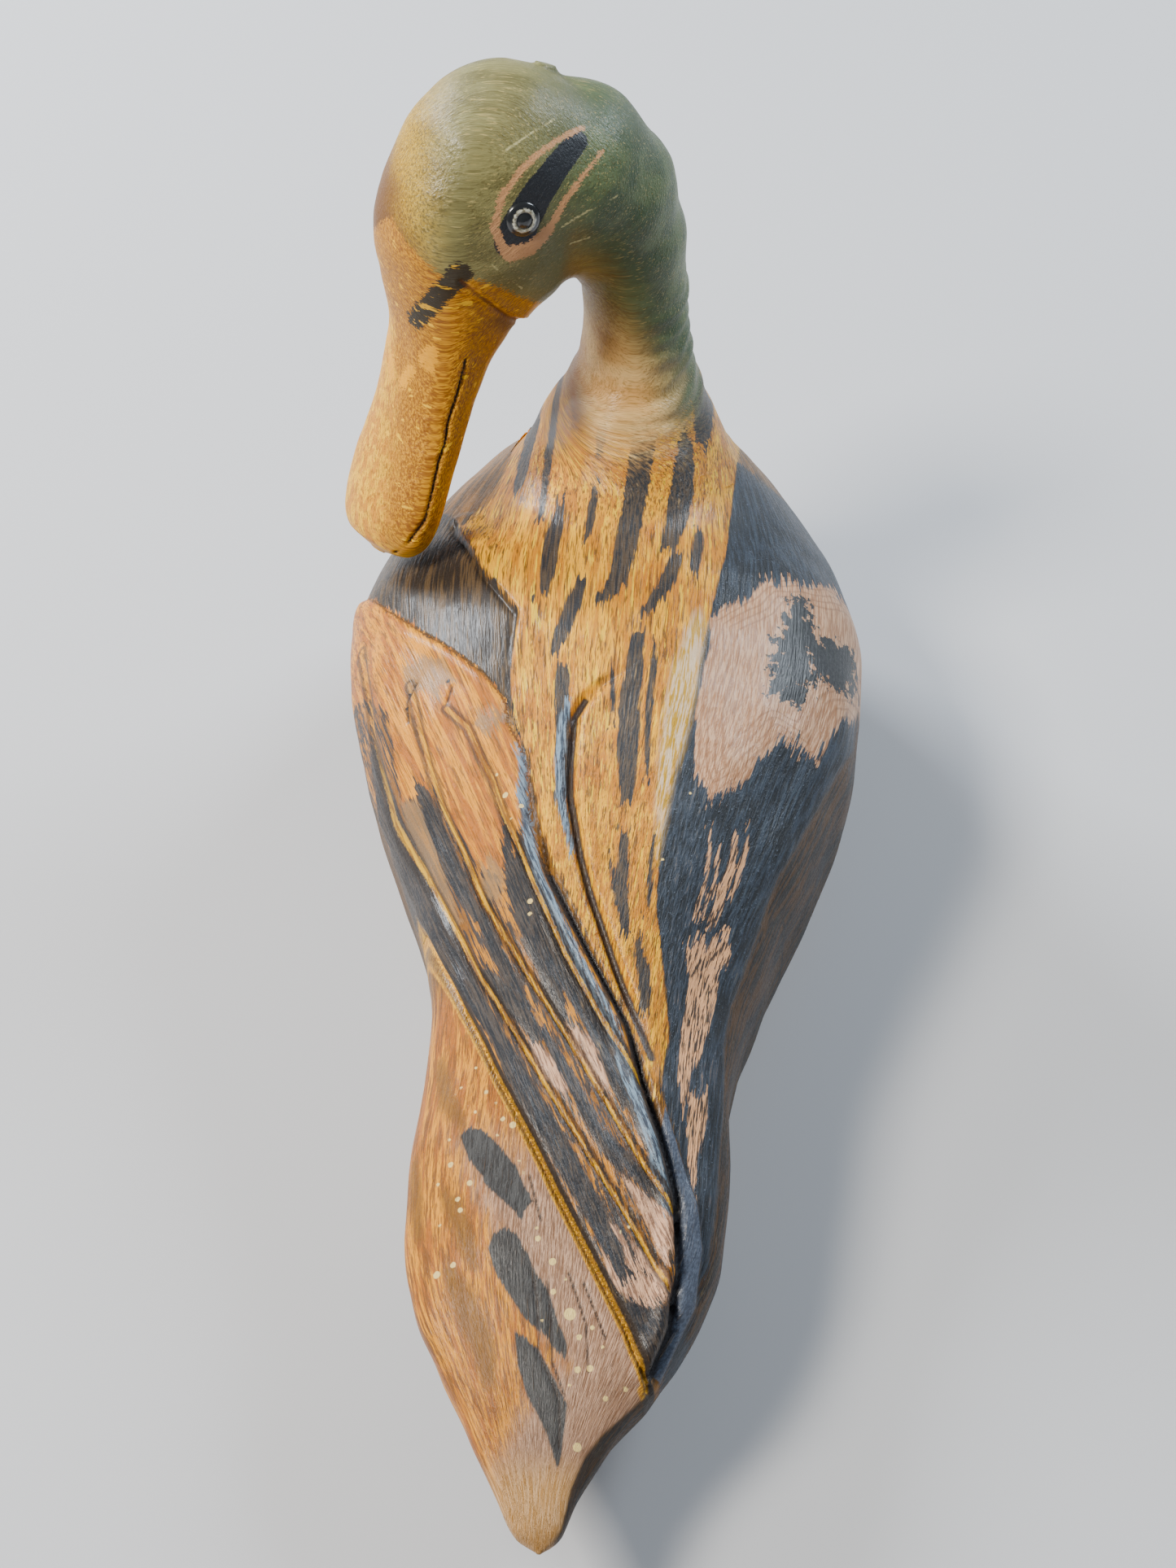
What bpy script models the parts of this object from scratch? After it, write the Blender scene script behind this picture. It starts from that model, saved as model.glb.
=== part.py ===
"""Carved wooden duck decoy in a preening pose: hollow body, bottom board, turned head, ballast, line tie."""

import math

import bmesh
import bpy
import numpy as np

MM = 0.001

# Gap left between pieces that touch, in mm.
FIT = 0.3

# Body, tail at +Y and breast at -Y. Each row: y, left half width, right half width,
# height of the widest line, top of the back, bottom (negative rows are cut flat at z = 0).
BODY_STATIONS = [
    (-130.0, 0.6, 0.6, 36.0, 37.0, 35.0),
    (-128.5, 8.5, 8.5, 36.0, 43.0, 28.0),
    (-125.0, 17.0, 17.0, 36.5, 47.0, 20.0),
    (-118.0, 26.0, 26.0, 37.0, 51.0, 10.0),
    (-108.0, 34.5, 34.0, 37.5, 55.0, 2.0),
    (-95.0, 43.5, 42.0, 38.0, 59.5, -3.5),
    (-80.0, 50.5, 47.5, 38.0, 64.0, -6.0),
    (-62.0, 53.0, 50.5, 37.5, 68.0, -7.0),
    (-48.0, 51.0, 50.5, 37.0, 68.0, -7.0),
    (-32.0, 47.0, 48.5, 36.0, 66.5, -7.0),
    (-16.0, 41.0, 43.5, 35.0, 64.0, -6.5),
    (0.0, 34.0, 38.0, 34.0, 60.5, -6.0),
    (14.0, 29.5, 33.0, 33.5, 56.5, -5.0),
    (28.0, 27.0, 29.0, 33.0, 52.0, -4.0),
    (42.0, 27.0, 27.5, 32.5, 48.0, -1.0),
    (56.0, 27.5, 27.5, 32.0, 44.5, 5.0),
    (70.0, 27.0, 27.0, 31.0, 41.0, 11.0),
    (82.0, 24.5, 23.5, 29.5, 38.0, 15.5),
    (94.0, 18.5, 17.5, 28.0, 35.0, 18.5),
    (104.0, 12.5, 11.5, 26.5, 32.0, 20.5),
    (113.0, 7.5, 6.5, 25.5, 29.5, 22.0),
    (119.5, 4.0, 3.5, 25.0, 27.6, 23.0),
    (122.0, 0.5, 0.5, 25.0, 25.5, 24.5),
]
UPPER_POWER, LOWER_POWER = 2.35, 3.0
BODY_RINGS = 78
BODY_AROUND = 44

# Wing relief on the back: the carved wing panels stand this far above the rump.
WING_RELIEF = 1.6
LEFT_WING = [(50.0, -78.0), (24.0, -86.0), (4.0, -40.0), (-7.0, 30.0), (-14.0, 98.0), (0.0, 62.0), (27.0, 4.0), (52.0, -30.0)]
RIGHT_WING = [(-52.0, -80.0), (-34.0, -90.0), (-14.0, -50.0), (-18.0, 20.0), (-17.0, 88.0), (-27.0, 60.0), (-31.0, 20.0), (-54.0, -20.0)]

BOARD_THICKNESS = 8.0
SHELL_BOTTOM = BOARD_THICKNESS + FIT

# Hollow inside the body.
CAVITY_FRONT, CAVITY_BACK = -104.0, 24.0
CAVITY_ROOF = 22.0
CAVITY_SIDE_SHARE, CAVITY_SIDE = 0.62, 8.5

# Head axes: BILL_WAY points along the bill, CROWN_WAY out of the crown, CHEEK_WAY out of the left cheek.
HEAD_CENTRE = (27.6, -101.1, 122.3)
BILL_WAY = (0.385, 0.523, -0.757)
CROWN_WAY = (0.594, 0.426, 0.624)

# Skull and bill along the bill axis: distance, half width, top, bottom (from the head centre).
HEAD_STATIONS = [
    (-26.8, 1.0, 1.5, -1.0),
    (-25.4, 6.5, 7.5, -5.5),
    (-21.8, 11.5, 13.0, -11.0),
    (-15.6, 15.2, 17.6, -16.0),
    (-7.0, 17.3, 20.6, -19.0),
    (2.0, 17.6, 20.6, -20.6),
    (9.0, 16.8, 19.6, -21.0),
    (14.5, 14.8, 17.2, -18.6),
    (20.5, 12.7, 12.6, -15.6),
    (28.0, 11.2, 6.4, -14.0),
    (37.0, 11.4, 2.2, -13.8),
    (47.5, 12.3, -0.6, -14.6),
    (57.5, 13.2, -2.6, -15.8),
    (64.5, 12.3, -4.0, -16.4),
    (69.0, 8.5, -5.9, -15.8),
    (70.8, 1.8, -10.4, -12.4),
]
HEAD_POWER = 2.1
HEAD_AROUND = 32

# Neck: x, y, z of the centre line, half width across, half depth front to back.
NECK_STATIONS = [
    (0.0, -98.0, 50.3, 21.0, 19.0),
    (0.0, -99.0, 57.0, 25.0, 22.5),
    (-0.6, -101.0, 63.5, 21.6, 20.5),
    (-1.3, -104.0, 73.0, 15.2, 17.0),
    (-1.6, -107.0, 84.0, 11.2, 14.4),
    (-1.2, -109.5, 97.0, 10.2, 13.2),
    (0.6, -111.0, 108.5, 11.2, 13.2),
    (5.0, -111.5, 118.5, 13.6, 14.6),
    (11.0, -110.0, 126.0, 16.4, 16.4),
    (18.0, -107.5, 129.0, 17.5, 16.5),
]
NECK_AROUND = 28
POCKET_FLOOR, POCKET_RIM = 50.0, 92.0

# Eyes: glass beads let into drilled sockets on both cheeks.
EYE_ALONG, EYE_UP = -0.8, 4.4
EYE_RADIUS, EYE_STEM, EYE_DOME = 3.4, 4.0, 1.3
EYE_SURFACE = 16.9

# Fixings.
SCREW_HEAD_R, SCREW_SHANK_R = 3.0, 1.5
BOARD_SCREW_LENGTH = 19.0
BOARD_SCREWS = [(25.0, -92.0), (-22.0, -92.0), (30.0, -46.0), (-29.0, -46.0), (0.0, 34.0)]
NECK_SCREW_XY = (-1.3, -92.8)
NECK_SCREW_LENGTH = 32.0
NECK_DOWEL_XY, NECK_DOWEL_R, NECK_DOWEL_LENGTH = (-2.7, -109.4), 3.0, 22.0
WASHER_R, WASHER_THICKNESS = 6.0, 1.2

# Ballast: a lead pad let into the underside of the board.
BALLAST_CENTRE, BALLAST_SIZE, BALLAST_CORNER = (0.0, -46.0), (26.0, 58.0), 4.0
BALLAST_THICKNESS = 4.0
BALLAST_SCREW_GAP = 40.0

# Line tie on the lower breast: wire staple with a free ring.
STAPLE_Z, STAPLE_SPREAD, STAPLE_WIRE, STAPLE_LEG = 19.0, 9.0, 0.9, 13.0
STAPLE_STAND_OFF = 6.2
RING_RADIUS, RING_WIRE = 5.0, 0.85


def clear_scene():
    for thing in list(bpy.data.objects):
        bpy.data.objects.remove(thing, do_unlink=True)


def smooth_curve(stations, where):
    """Values of every column at `where`, along a monotone cubic through the stations."""
    table = np.array(stations, float)
    x, y = table[:, 0], table[:, 1:]
    step = np.diff(x)[:, None]
    slope = np.diff(y, axis=0) / step
    same_way = slope[:-1] * slope[1:] > 0
    weight_a, weight_b = 2 * step[1:] + step[:-1], step[1:] + 2 * step[:-1]
    with np.errstate(divide="ignore", invalid="ignore"):
        mean = (weight_a + weight_b) / (weight_a / slope[:-1] + weight_b / slope[1:])
    tangent = np.vstack([slope[:1], np.where(same_way, mean, 0.0), slope[-1:]])
    where = np.clip(where, x[0], x[-1])
    index = np.clip(np.searchsorted(x, where) - 1, 0, len(x) - 2)
    t = ((where - x[index]) / step[index, 0])[:, None]
    h = step[index]
    start = (1 + 2 * t) * (1 - t) ** 2 * y[index] + t * (1 - t) ** 2 * h * tangent[index]
    end = t * t * (3 - 2 * t) * y[index + 1] - t * t * (1 - t) * h * tangent[index + 1]
    return start + end


def inside_amount(outline, x, y, blend):
    """1 well inside a closed outline, 0 outside, with a soft step of width `blend` at its edge."""
    closed = outline + outline[:1]
    nearest = 1e9
    inside = False
    for (ax, ay), (bx, by) in zip(closed[:-1], closed[1:]):
        length2 = (bx - ax) ** 2 + (by - ay) ** 2
        share = min(1.0, max(0.0, ((x - ax) * (bx - ax) + (y - ay) * (by - ay)) / length2))
        nearest = min(nearest, math.hypot(x - ax - share * (bx - ax), y - ay - share * (by - ay)))
        if (ay > y) != (by > y) and x < ax + (y - ay) * (bx - ax) / (by - ay):
            inside = not inside
    depth = nearest if inside else -nearest
    share = min(1.0, max(0.0, 0.5 + depth / blend))
    return share * share * (3 - 2 * share)


def new_object(name, points, faces, colour, smooth=True):
    mesh = bpy.data.meshes.new(name)
    mesh.from_pydata([tuple(p * MM for p in point) for point in points], [], faces)
    mesh.validate()
    shape = bmesh.new()
    shape.from_mesh(mesh)
    bmesh.ops.recalc_face_normals(shape, faces=shape.faces)
    shape.to_mesh(mesh)
    shape.free()
    for polygon in mesh.polygons:
        polygon.use_smooth = smooth
    made = bpy.data.objects.new(name, mesh)
    bpy.context.scene.collection.objects.link(made)
    mesh.materials.append(material(name, colour))
    return made


def material(name, colour):
    """colour: red, green, blue, metallic, roughness."""
    made = bpy.data.materials.new(name + "_material")
    made.use_nodes = True
    shader = made.node_tree.nodes["Principled BSDF"]
    shader.inputs["Base Color"].default_value = (*colour[:3], 1.0)
    shader.inputs["Metallic"].default_value = colour[3]
    shader.inputs["Roughness"].default_value = colour[4]
    return made


def skin(rings, cap_start=True, cap_end=True):
    """Points and faces of a tube through equal rings of points, capped with fans."""
    count = len(rings[0])
    points = [point for ring in rings for point in ring]
    faces = []
    for row in range(len(rings) - 1):
        for column in range(count):
            after = (column + 1) % count
            low, high = row * count, (row + 1) * count
            faces.append((low + column, low + after, high + after, high + column))
    for wanted, row in ((cap_start, 0), (cap_end, len(rings) - 1)):
        if wanted:
            centre = len(points)
            points.append(tuple(np.mean(rings[row], axis=0)))
            for column in range(count):
                faces.append((centre, row * count + column, row * count + (column + 1) % count))
    return points, faces


def power_point(angle, half_width, up, down, power):
    """Point of a rounded section at this angle, measured from its widest line."""
    c, s = math.cos(angle), math.sin(angle)
    across = math.copysign(abs(c) ** (2 / power), c) * half_width
    height = math.copysign(abs(s) ** (2 / power), s) * (up if s > 0 else down)
    return across, height


def body_rings():
    share = np.linspace(0.0, 1.0, BODY_RINGS)
    eased = 0.5 - 0.5 * np.cos(math.pi * share)
    along = -130.0 + 252.0 * (0.55 * share + 0.45 * eased)
    rings = []
    for y, row in zip(along, smooth_curve(BODY_STATIONS, along)):
        left, right, widest, top, bottom = row
        ring = []
        for step in range(BODY_AROUND):
            angle = 2 * math.pi * step / BODY_AROUND
            width = left if math.cos(angle) > 0 else right
            power = UPPER_POWER if math.sin(angle) > 0 else LOWER_POWER
            x, rise = power_point(angle, width, top - widest, widest - bottom, power)
            if rise > 0:
                over = max(inside_amount(LEFT_WING, x, y, 5.0), inside_amount(RIGHT_WING, x, y, 5.0))
                rise += WING_RELIEF * over * min(1.0, rise / 12.0)
            ring.append((x, y, widest + rise))
        rings.append(ring)
    return rings


def cavity_rings():
    along = np.linspace(CAVITY_FRONT, CAVITY_BACK, 22)
    rings = []
    for y, row in zip(along, smooth_curve(BODY_STATIONS, along)):
        left, right, widest, top, _ = row
        end = min(y - CAVITY_FRONT, CAVITY_BACK - y)
        close = math.sqrt(max(0.04, 1 - max(0.0, 1 - end / 16.0) ** 2))
        ring = []
        for step in range(26):
            angle = 2 * math.pi * step / 26
            width = ((left if math.cos(angle) > 0 else right) * CAVITY_SIDE_SHARE - CAVITY_SIDE) * close
            roof = (top - CAVITY_ROOF - 26.0) * close
            x, rise = power_point(angle, width, roof, 26.0, 2.8)
            ring.append((x, y, 26.0 + rise))
        rings.append(ring)
    return rings


def unit(vector):
    return np.array(vector, float) / np.linalg.norm(vector)


def head_axes():
    forward = unit(BILL_WAY)
    crown = unit(np.array(CROWN_WAY) - forward * np.dot(CROWN_WAY, forward))
    cheek = np.cross(crown, forward)
    return forward, crown, cheek


def head_point(along, across, up):
    forward, crown, cheek = head_axes()
    return np.array(HEAD_CENTRE) + forward * along + cheek * across + crown * up


def head_rings():
    first, last = HEAD_STATIONS[0][0], HEAD_STATIONS[-1][0]
    along = np.array([row[0] for row in HEAD_STATIONS])
    middle = 0.5 * (along[:-1] + along[1:])
    along = np.sort(np.concatenate([along, middle]))
    along = along[(along >= first) & (along <= last)]
    rings = []
    for f, (half, top, bottom) in zip(along, smooth_curve(HEAD_STATIONS, along)):
        centre, height = 0.5 * (top + bottom), 0.5 * (top - bottom)
        ring = []
        for step in range(HEAD_AROUND):
            angle = 2 * math.pi * step / HEAD_AROUND
            across, up = power_point(angle, half, height, height, HEAD_POWER)
            ring.append(tuple(head_point(f, across, centre + up)))
        rings.append(ring)
    return rings


def neck_rings(grow=0.0):
    table = [(float(index),) + row for index, row in enumerate(NECK_STATIONS)]
    places = np.linspace(0.0, len(NECK_STATIONS) - 1.0, 2 * len(NECK_STATIONS) + 3)
    rows = smooth_curve(table, places)
    centres = rows[:, :3]
    rings = []
    for index, row in enumerate(rows):
        ahead = unit(centres[min(index + 1, len(rows) - 1)] - centres[max(index - 1, 0)])
        level = min(1.0, max(0.0, (centres[index][2] - 64.0) / 36.0))
        ahead = unit(ahead * level + np.array([0.0, 0.0, 1.0 - level]))
        side = unit(np.cross([0.0, 1.0, 0.0], ahead))
        back = np.cross(ahead, side)
        ring = []
        for step in range(NECK_AROUND):
            angle = 2 * math.pi * step / NECK_AROUND
            offset = side * math.cos(angle) * (row[3] + grow) + back * math.sin(angle) * (row[4] + grow)
            ring.append(tuple(centres[index] + offset))
        rings.append(ring)
    if grow > 0:
        rings[0] = [(x, y, POCKET_FLOOR) for x, y, _ in rings[0]]
        return [ring for ring in rings if max(point[2] for point in ring) < POCKET_RIM]
    return rings


def round_bar(name, start, way, profile, colour, around=20):
    """Solid turned round a line. profile: (distance along the line, radius) pairs."""
    ahead = unit(way)
    side = unit(np.cross(ahead, [0.0, 0.0, 1.0] if abs(ahead[2]) < 0.9 else [1.0, 0.0, 0.0]))
    other = np.cross(ahead, side)
    rings = []
    for along, radius in profile:
        centre = np.array(start) + ahead * along
        rings.append([
            tuple(centre + radius * (side * math.cos(a) + other * math.sin(a)))
            for a in np.arange(around) * 2 * math.pi / around
        ])
    points, faces = skin(rings)
    return new_object(name, points, faces, colour)


def box(name, low, high):
    x0, y0, z0 = low
    x1, y1, z1 = high
    points = [(x, y, z) for z in (z0, z1) for y in (y0, y1) for x in (x0, x1)]
    faces = [(0, 1, 3, 2), (4, 6, 7, 5), (0, 4, 5, 1), (2, 3, 7, 6), (0, 2, 6, 4), (1, 5, 7, 3)]
    return new_object(name, points, faces, (0.5, 0.5, 0.5, 0.0, 0.5), smooth=False)


def combine(piece, tool, operation):
    tool.hide_render = True
    tool.display_type = "WIRE"
    step = piece.modifiers.new(operation.lower() + "_" + tool.name, "BOOLEAN")
    step.object = tool
    step.operation = operation
    step.solver = "EXACT"


WOOD_BODY = (0.42, 0.24, 0.09, 0.0, 0.5)
WOOD_BOARD = (0.33, 0.21, 0.11, 0.0, 0.7)
WOOD_HEAD = (0.30, 0.24, 0.12, 0.0, 0.5)
DOWEL = (0.55, 0.40, 0.22, 0.0, 0.7)
BRASS = (0.62, 0.46, 0.18, 1.0, 0.35)
STEEL = (0.45, 0.44, 0.42, 1.0, 0.4)
LEAD = (0.17, 0.18, 0.19, 1.0, 0.6)
GLASS = (0.02, 0.02, 0.02, 0.0, 0.05)


def make_body():
    points, faces = skin(body_rings())
    shell = new_object("body_shell", points, faces, WOOD_BODY)
    combine(shell, box("cut_under_shell", (-80, -150, -20), (80, 150, SHELL_BOTTOM)), "DIFFERENCE")
    points, faces = skin(cavity_rings())
    combine(shell, new_object("cut_cavity", points, faces, WOOD_BODY), "DIFFERENCE")
    points, faces = skin(neck_rings(FIT))
    combine(shell, new_object("cut_neck_pocket", points, faces, WOOD_BODY), "DIFFERENCE")

    points, faces = skin(body_rings())
    board = new_object("bottom_board", points, faces, WOOD_BOARD)
    combine(board, box("cut_over_board", (-80, -150, BOARD_THICKNESS), (80, 150, 120)), "DIFFERENCE")
    combine(board, box("cut_flat_underside", (-80, -150, -60), (80, 150, 0)), "DIFFERENCE")
    return shell, board


def make_head():
    points, faces = skin(head_rings())
    head = new_object("head_and_neck", points, faces, WOOD_HEAD)
    points, faces = skin(neck_rings())
    combine(head, new_object("add_neck", points, faces, WOOD_HEAD), "UNION")
    return head


def make_eye(name, head, side):
    forward, crown, cheek = head_axes()
    start = head_point(EYE_ALONG, side * (EYE_SURFACE - EYE_STEM), EYE_UP)
    dome = [(EYE_STEM, EYE_RADIUS)]
    for step in range(1, 6):
        angle = 0.5 * math.pi * step / 6
        dome.append((EYE_STEM + EYE_DOME * math.sin(angle), EYE_RADIUS * math.cos(angle)))
    socket = [(-FIT, EYE_RADIUS + FIT), (EYE_STEM + 6.0, EYE_RADIUS + FIT)]
    combine(head, round_bar("cut_socket_" + name, start, cheek * side, socket, GLASS, 24), "DIFFERENCE")
    return round_bar(name, start, cheek * side, [(0.0, EYE_RADIUS)] + dome, GLASS, 24)


def make_neck_fixings(shell, head):
    x, y = NECK_SCREW_XY
    roof = float(smooth_curve(BODY_STATIONS, np.array([y]))[0, 3]) - CAVITY_ROOF
    seat = roof + 1.2
    way = (0.0, 0.0, 1.0)
    combine(shell, round_bar("cut_washer_seat", (x, y, 20.0), way, [(0, 8.5), (seat - 20.0, 8.5)], STEEL), "DIFFERENCE")
    combine(shell, round_bar("cut_neck_screw_way", (x, y, seat - 3), way, [(0, 1.9), (30, 1.9)], STEEL), "DIFFERENCE")
    washer_z = seat - FIT - WASHER_THICKNESS
    washer = round_bar("neck_washer", (x, y, washer_z), way, [(0, WASHER_R), (WASHER_THICKNESS, WASHER_R)], STEEL, 28)
    combine(washer, round_bar("cut_washer_hole", (x, y, washer_z - 2), way, [(0, 2.0), (6, 2.0)], STEEL), "DIFFERENCE")
    head_z = washer_z - FIT - 2.4
    profile = [(0, SCREW_HEAD_R * 0.7), (0.8, SCREW_HEAD_R * 1.1), (2.4, SCREW_HEAD_R * 1.1), (2.41, 1.5),
               (NECK_SCREW_LENGTH - 4, 1.5), (NECK_SCREW_LENGTH, 0.3)]
    screw = round_bar("neck_screw", (x, y, head_z), way, profile, STEEL)
    hole = [(0, 1.8), (NECK_SCREW_LENGTH - 1.0, 1.8)]
    combine(head, round_bar("cut_neck_screw_hole", (x, y, head_z + 2.0), way, hole, STEEL), "DIFFERENCE")

    x, y = NECK_DOWEL_XY
    low = POCKET_FLOOR - 5.0
    full = NECK_DOWEL_LENGTH
    pin = [(0, NECK_DOWEL_R - 0.6), (0.8, NECK_DOWEL_R), (full - 0.8, NECK_DOWEL_R), (full, NECK_DOWEL_R - 0.6)]
    dowel = round_bar("neck_dowel", (x, y, low), way, pin, DOWEL)
    bore = [(0, NECK_DOWEL_R + FIT), (full + 2 * FIT, NECK_DOWEL_R + FIT)]
    combine(shell, round_bar("cut_dowel_in_shell", (x, y, low - FIT), way, bore, DOWEL), "DIFFERENCE")
    combine(head, round_bar("cut_dowel_in_neck", (x, y, low - FIT), way, bore, DOWEL), "DIFFERENCE")
    return screw, washer, dowel


def make_board_screws(shell, board):
    way = (0.0, 0.0, 1.0)
    for number, (x, y) in enumerate(BOARD_SCREWS, 1):
        start = 0.8
        length = BOARD_SCREW_LENGTH
        profile = [(0, SCREW_HEAD_R), (0.4, SCREW_HEAD_R), (2.2, SCREW_SHANK_R), (length - 3, SCREW_SHANK_R), (length, 0.3)]
        round_bar("board_screw_%d" % number, (x, y, start), way, profile, BRASS, 16)
        sink = [(-3, SCREW_HEAD_R + 0.5), (0.5, SCREW_HEAD_R + 0.5), (2.6, SCREW_SHANK_R + FIT), (12, SCREW_SHANK_R + FIT)]
        combine(board, round_bar("cut_sink_%d" % number, (x, y, start), way, sink, BRASS, 16), "DIFFERENCE")
        bore = [(0, SCREW_SHANK_R + FIT), (length - 4.0, SCREW_SHANK_R + FIT), (length + 0.5, 0.7)]
        combine(shell, round_bar("cut_bore_%d" % number, (x, y, start), way, bore, BRASS, 16), "DIFFERENCE")


def rounded_slab(name, centre, size, corner, low, high, colour):
    corners = []
    for sx, sy, start in ((1, 1, 0), (-1, 1, 90), (-1, -1, 180), (1, -1, 270)):
        for step in range(5):
            angle = math.radians(start + 22.5 * step)
            corners.append((centre[0] + sx * (size[0] / 2 - corner) + corner * math.cos(angle),
                            centre[1] + sy * (size[1] / 2 - corner) + corner * math.sin(angle)))
    rings = [[(x, y, z) for x, y in corners] for z in (low, high)]
    points, faces = skin(rings)
    return new_object(name, points, faces, colour, smooth=False)


def make_ballast(board):
    way = (0.0, 0.0, 1.0)
    low = 0.4
    pad = rounded_slab("ballast_weight", BALLAST_CENTRE, BALLAST_SIZE, BALLAST_CORNER, low, low + BALLAST_THICKNESS, LEAD)
    room = (BALLAST_SIZE[0] + 2 * FIT, BALLAST_SIZE[1] + 2 * FIT)
    pocket = rounded_slab("cut_ballast_pocket", BALLAST_CENTRE, room, BALLAST_CORNER + FIT, -4.0, low + BALLAST_THICKNESS + FIT, LEAD)
    combine(board, pocket, "DIFFERENCE")
    x, y = BALLAST_CENTRE
    for number, shift in enumerate((-0.5, 0.5), 1):
        place = (x, y + shift * BALLAST_SCREW_GAP, low + 0.3)
        profile = [(0, 2.4), (0.3, 2.4), (1.6, 1.1), (5.4, 1.1), (6.8, 0.3)]
        round_bar("ballast_screw_%d" % number, place, way, profile, BRASS, 16)
        sink = [(-3, 2.9), (0.35, 2.9), (2.0, 1.1 + FIT), (9, 1.1 + FIT)]
        combine(pad, round_bar("cut_pad_%d" % number, place, way, sink, BRASS, 16), "DIFFERENCE")
        bore = [(2, 1.1 + FIT), (7.1, 1.1 + FIT)]
        combine(board, round_bar("cut_pad_bore_%d" % number, place, way, bore, BRASS, 16), "DIFFERENCE")


def wire(name, path, radius, colour, around=10, closed=False):
    path = [np.array(point, float) for point in path]
    rings = []
    count = len(path)
    for index, point in enumerate(path):
        before = path[index - 1] if index or closed else point
        after = path[(index + 1) % count] if index < count - 1 or closed else point
        ahead = unit(after - before)
        side = unit(np.cross(ahead, [0.0, 0.0, 1.0] if abs(ahead[2]) < 0.9 else [0.0, 1.0, 0.0]))
        if closed:
            side = np.array([1.0, 0.0, 0.0])
        other = np.cross(ahead, side)
        rings.append([
            tuple(point + radius * (side * math.cos(a) + other * math.sin(a)))
            for a in np.arange(around) * 2 * math.pi / around
        ])
    if closed:
        rings.append(rings[0])
        points = [point for ring in rings[:-1] for point in ring]
        faces = []
        for row in range(count):
            for column in range(around):
                low, high = row * around, ((row + 1) % count) * around
                after = (column + 1) % around
                faces.append((low + column, low + after, high + after, high + column))
        return new_object(name, points, faces, colour)
    points, faces = skin(rings)
    return new_object(name, points, faces, colour)


def breast_y(z):
    """Front of the body on the centre line at this height."""
    along = np.linspace(-130.0, -95.0, 701)
    rows = smooth_curve(BODY_STATIONS, along)
    return float(along[np.argmax(rows[:, 4] <= z)])


def make_line_tie(shell):
    surface = breast_y(STAPLE_Z)
    crown = surface - STAPLE_STAND_OFF
    half = STAPLE_SPREAD / 2
    bend = 1.6
    path = [(-half, surface + STAPLE_LEG, STAPLE_Z), (-half, surface, STAPLE_Z), (-half, crown + bend, STAPLE_Z)]
    for step in range(1, 5):
        angle = 0.5 * math.pi * step / 5
        path.append((-half + bend * (1 - math.cos(angle)), crown + bend * (1 - math.sin(angle)), STAPLE_Z))
    path.append((-half + bend, crown, STAPLE_Z))
    mirrored = [(-x, y, z) for x, y, z in reversed(path)]
    wire("line_tie_staple", path + mirrored, STAPLE_WIRE, BRASS, 12)
    for side in (-1, 1):
        bore = [(0, STAPLE_WIRE + FIT), (STAPLE_LEG + 6.0 + FIT, STAPLE_WIRE + FIT)]
        tool = round_bar("cut_staple_%d" % side, (side * half, surface - 6.0, STAPLE_Z), (0.0, 1.0, 0.0), bore, BRASS, 14)
        combine(shell, tool, "DIFFERENCE")

    drop = RING_RADIUS - RING_WIRE - STAPLE_WIRE - 0.15
    path = []
    for step in range(28):
        angle = 2 * math.pi * step / 28
        path.append((0.0, RING_RADIUS * math.sin(angle), -drop + RING_RADIUS * math.cos(angle)))
    ring = wire("line_tie_ring", path, RING_WIRE, BRASS, 12, closed=True)
    ring.location = (0.0, crown * MM, STAPLE_Z * MM)
    return ring


clear_scene()
body_shell, bottom_board = make_body()
head_and_neck = make_head()
make_eye("eye_left", head_and_neck, 1)
make_eye("eye_right", head_and_neck, -1)
make_neck_fixings(body_shell, head_and_neck)
make_board_screws(body_shell, bottom_board)
make_ballast(bottom_board)
make_line_tie(body_shell)
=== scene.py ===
"""Looks of the carved duck decoy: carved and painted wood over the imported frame."""

import math

import bpy
import numpy as np
from mathutils import Matrix, Vector


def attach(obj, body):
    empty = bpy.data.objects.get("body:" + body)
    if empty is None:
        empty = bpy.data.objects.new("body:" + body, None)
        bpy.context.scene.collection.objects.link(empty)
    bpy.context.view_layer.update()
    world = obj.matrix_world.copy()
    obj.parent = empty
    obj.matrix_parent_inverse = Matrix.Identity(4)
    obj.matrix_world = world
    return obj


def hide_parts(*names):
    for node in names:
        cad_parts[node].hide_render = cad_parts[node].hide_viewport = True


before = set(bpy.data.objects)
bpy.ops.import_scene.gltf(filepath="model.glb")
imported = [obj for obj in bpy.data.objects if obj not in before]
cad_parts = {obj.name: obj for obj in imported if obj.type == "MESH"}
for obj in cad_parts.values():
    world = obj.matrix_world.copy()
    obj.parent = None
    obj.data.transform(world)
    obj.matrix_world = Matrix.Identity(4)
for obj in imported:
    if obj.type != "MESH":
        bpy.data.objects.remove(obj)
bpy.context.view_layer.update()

MM = 0.001

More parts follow.
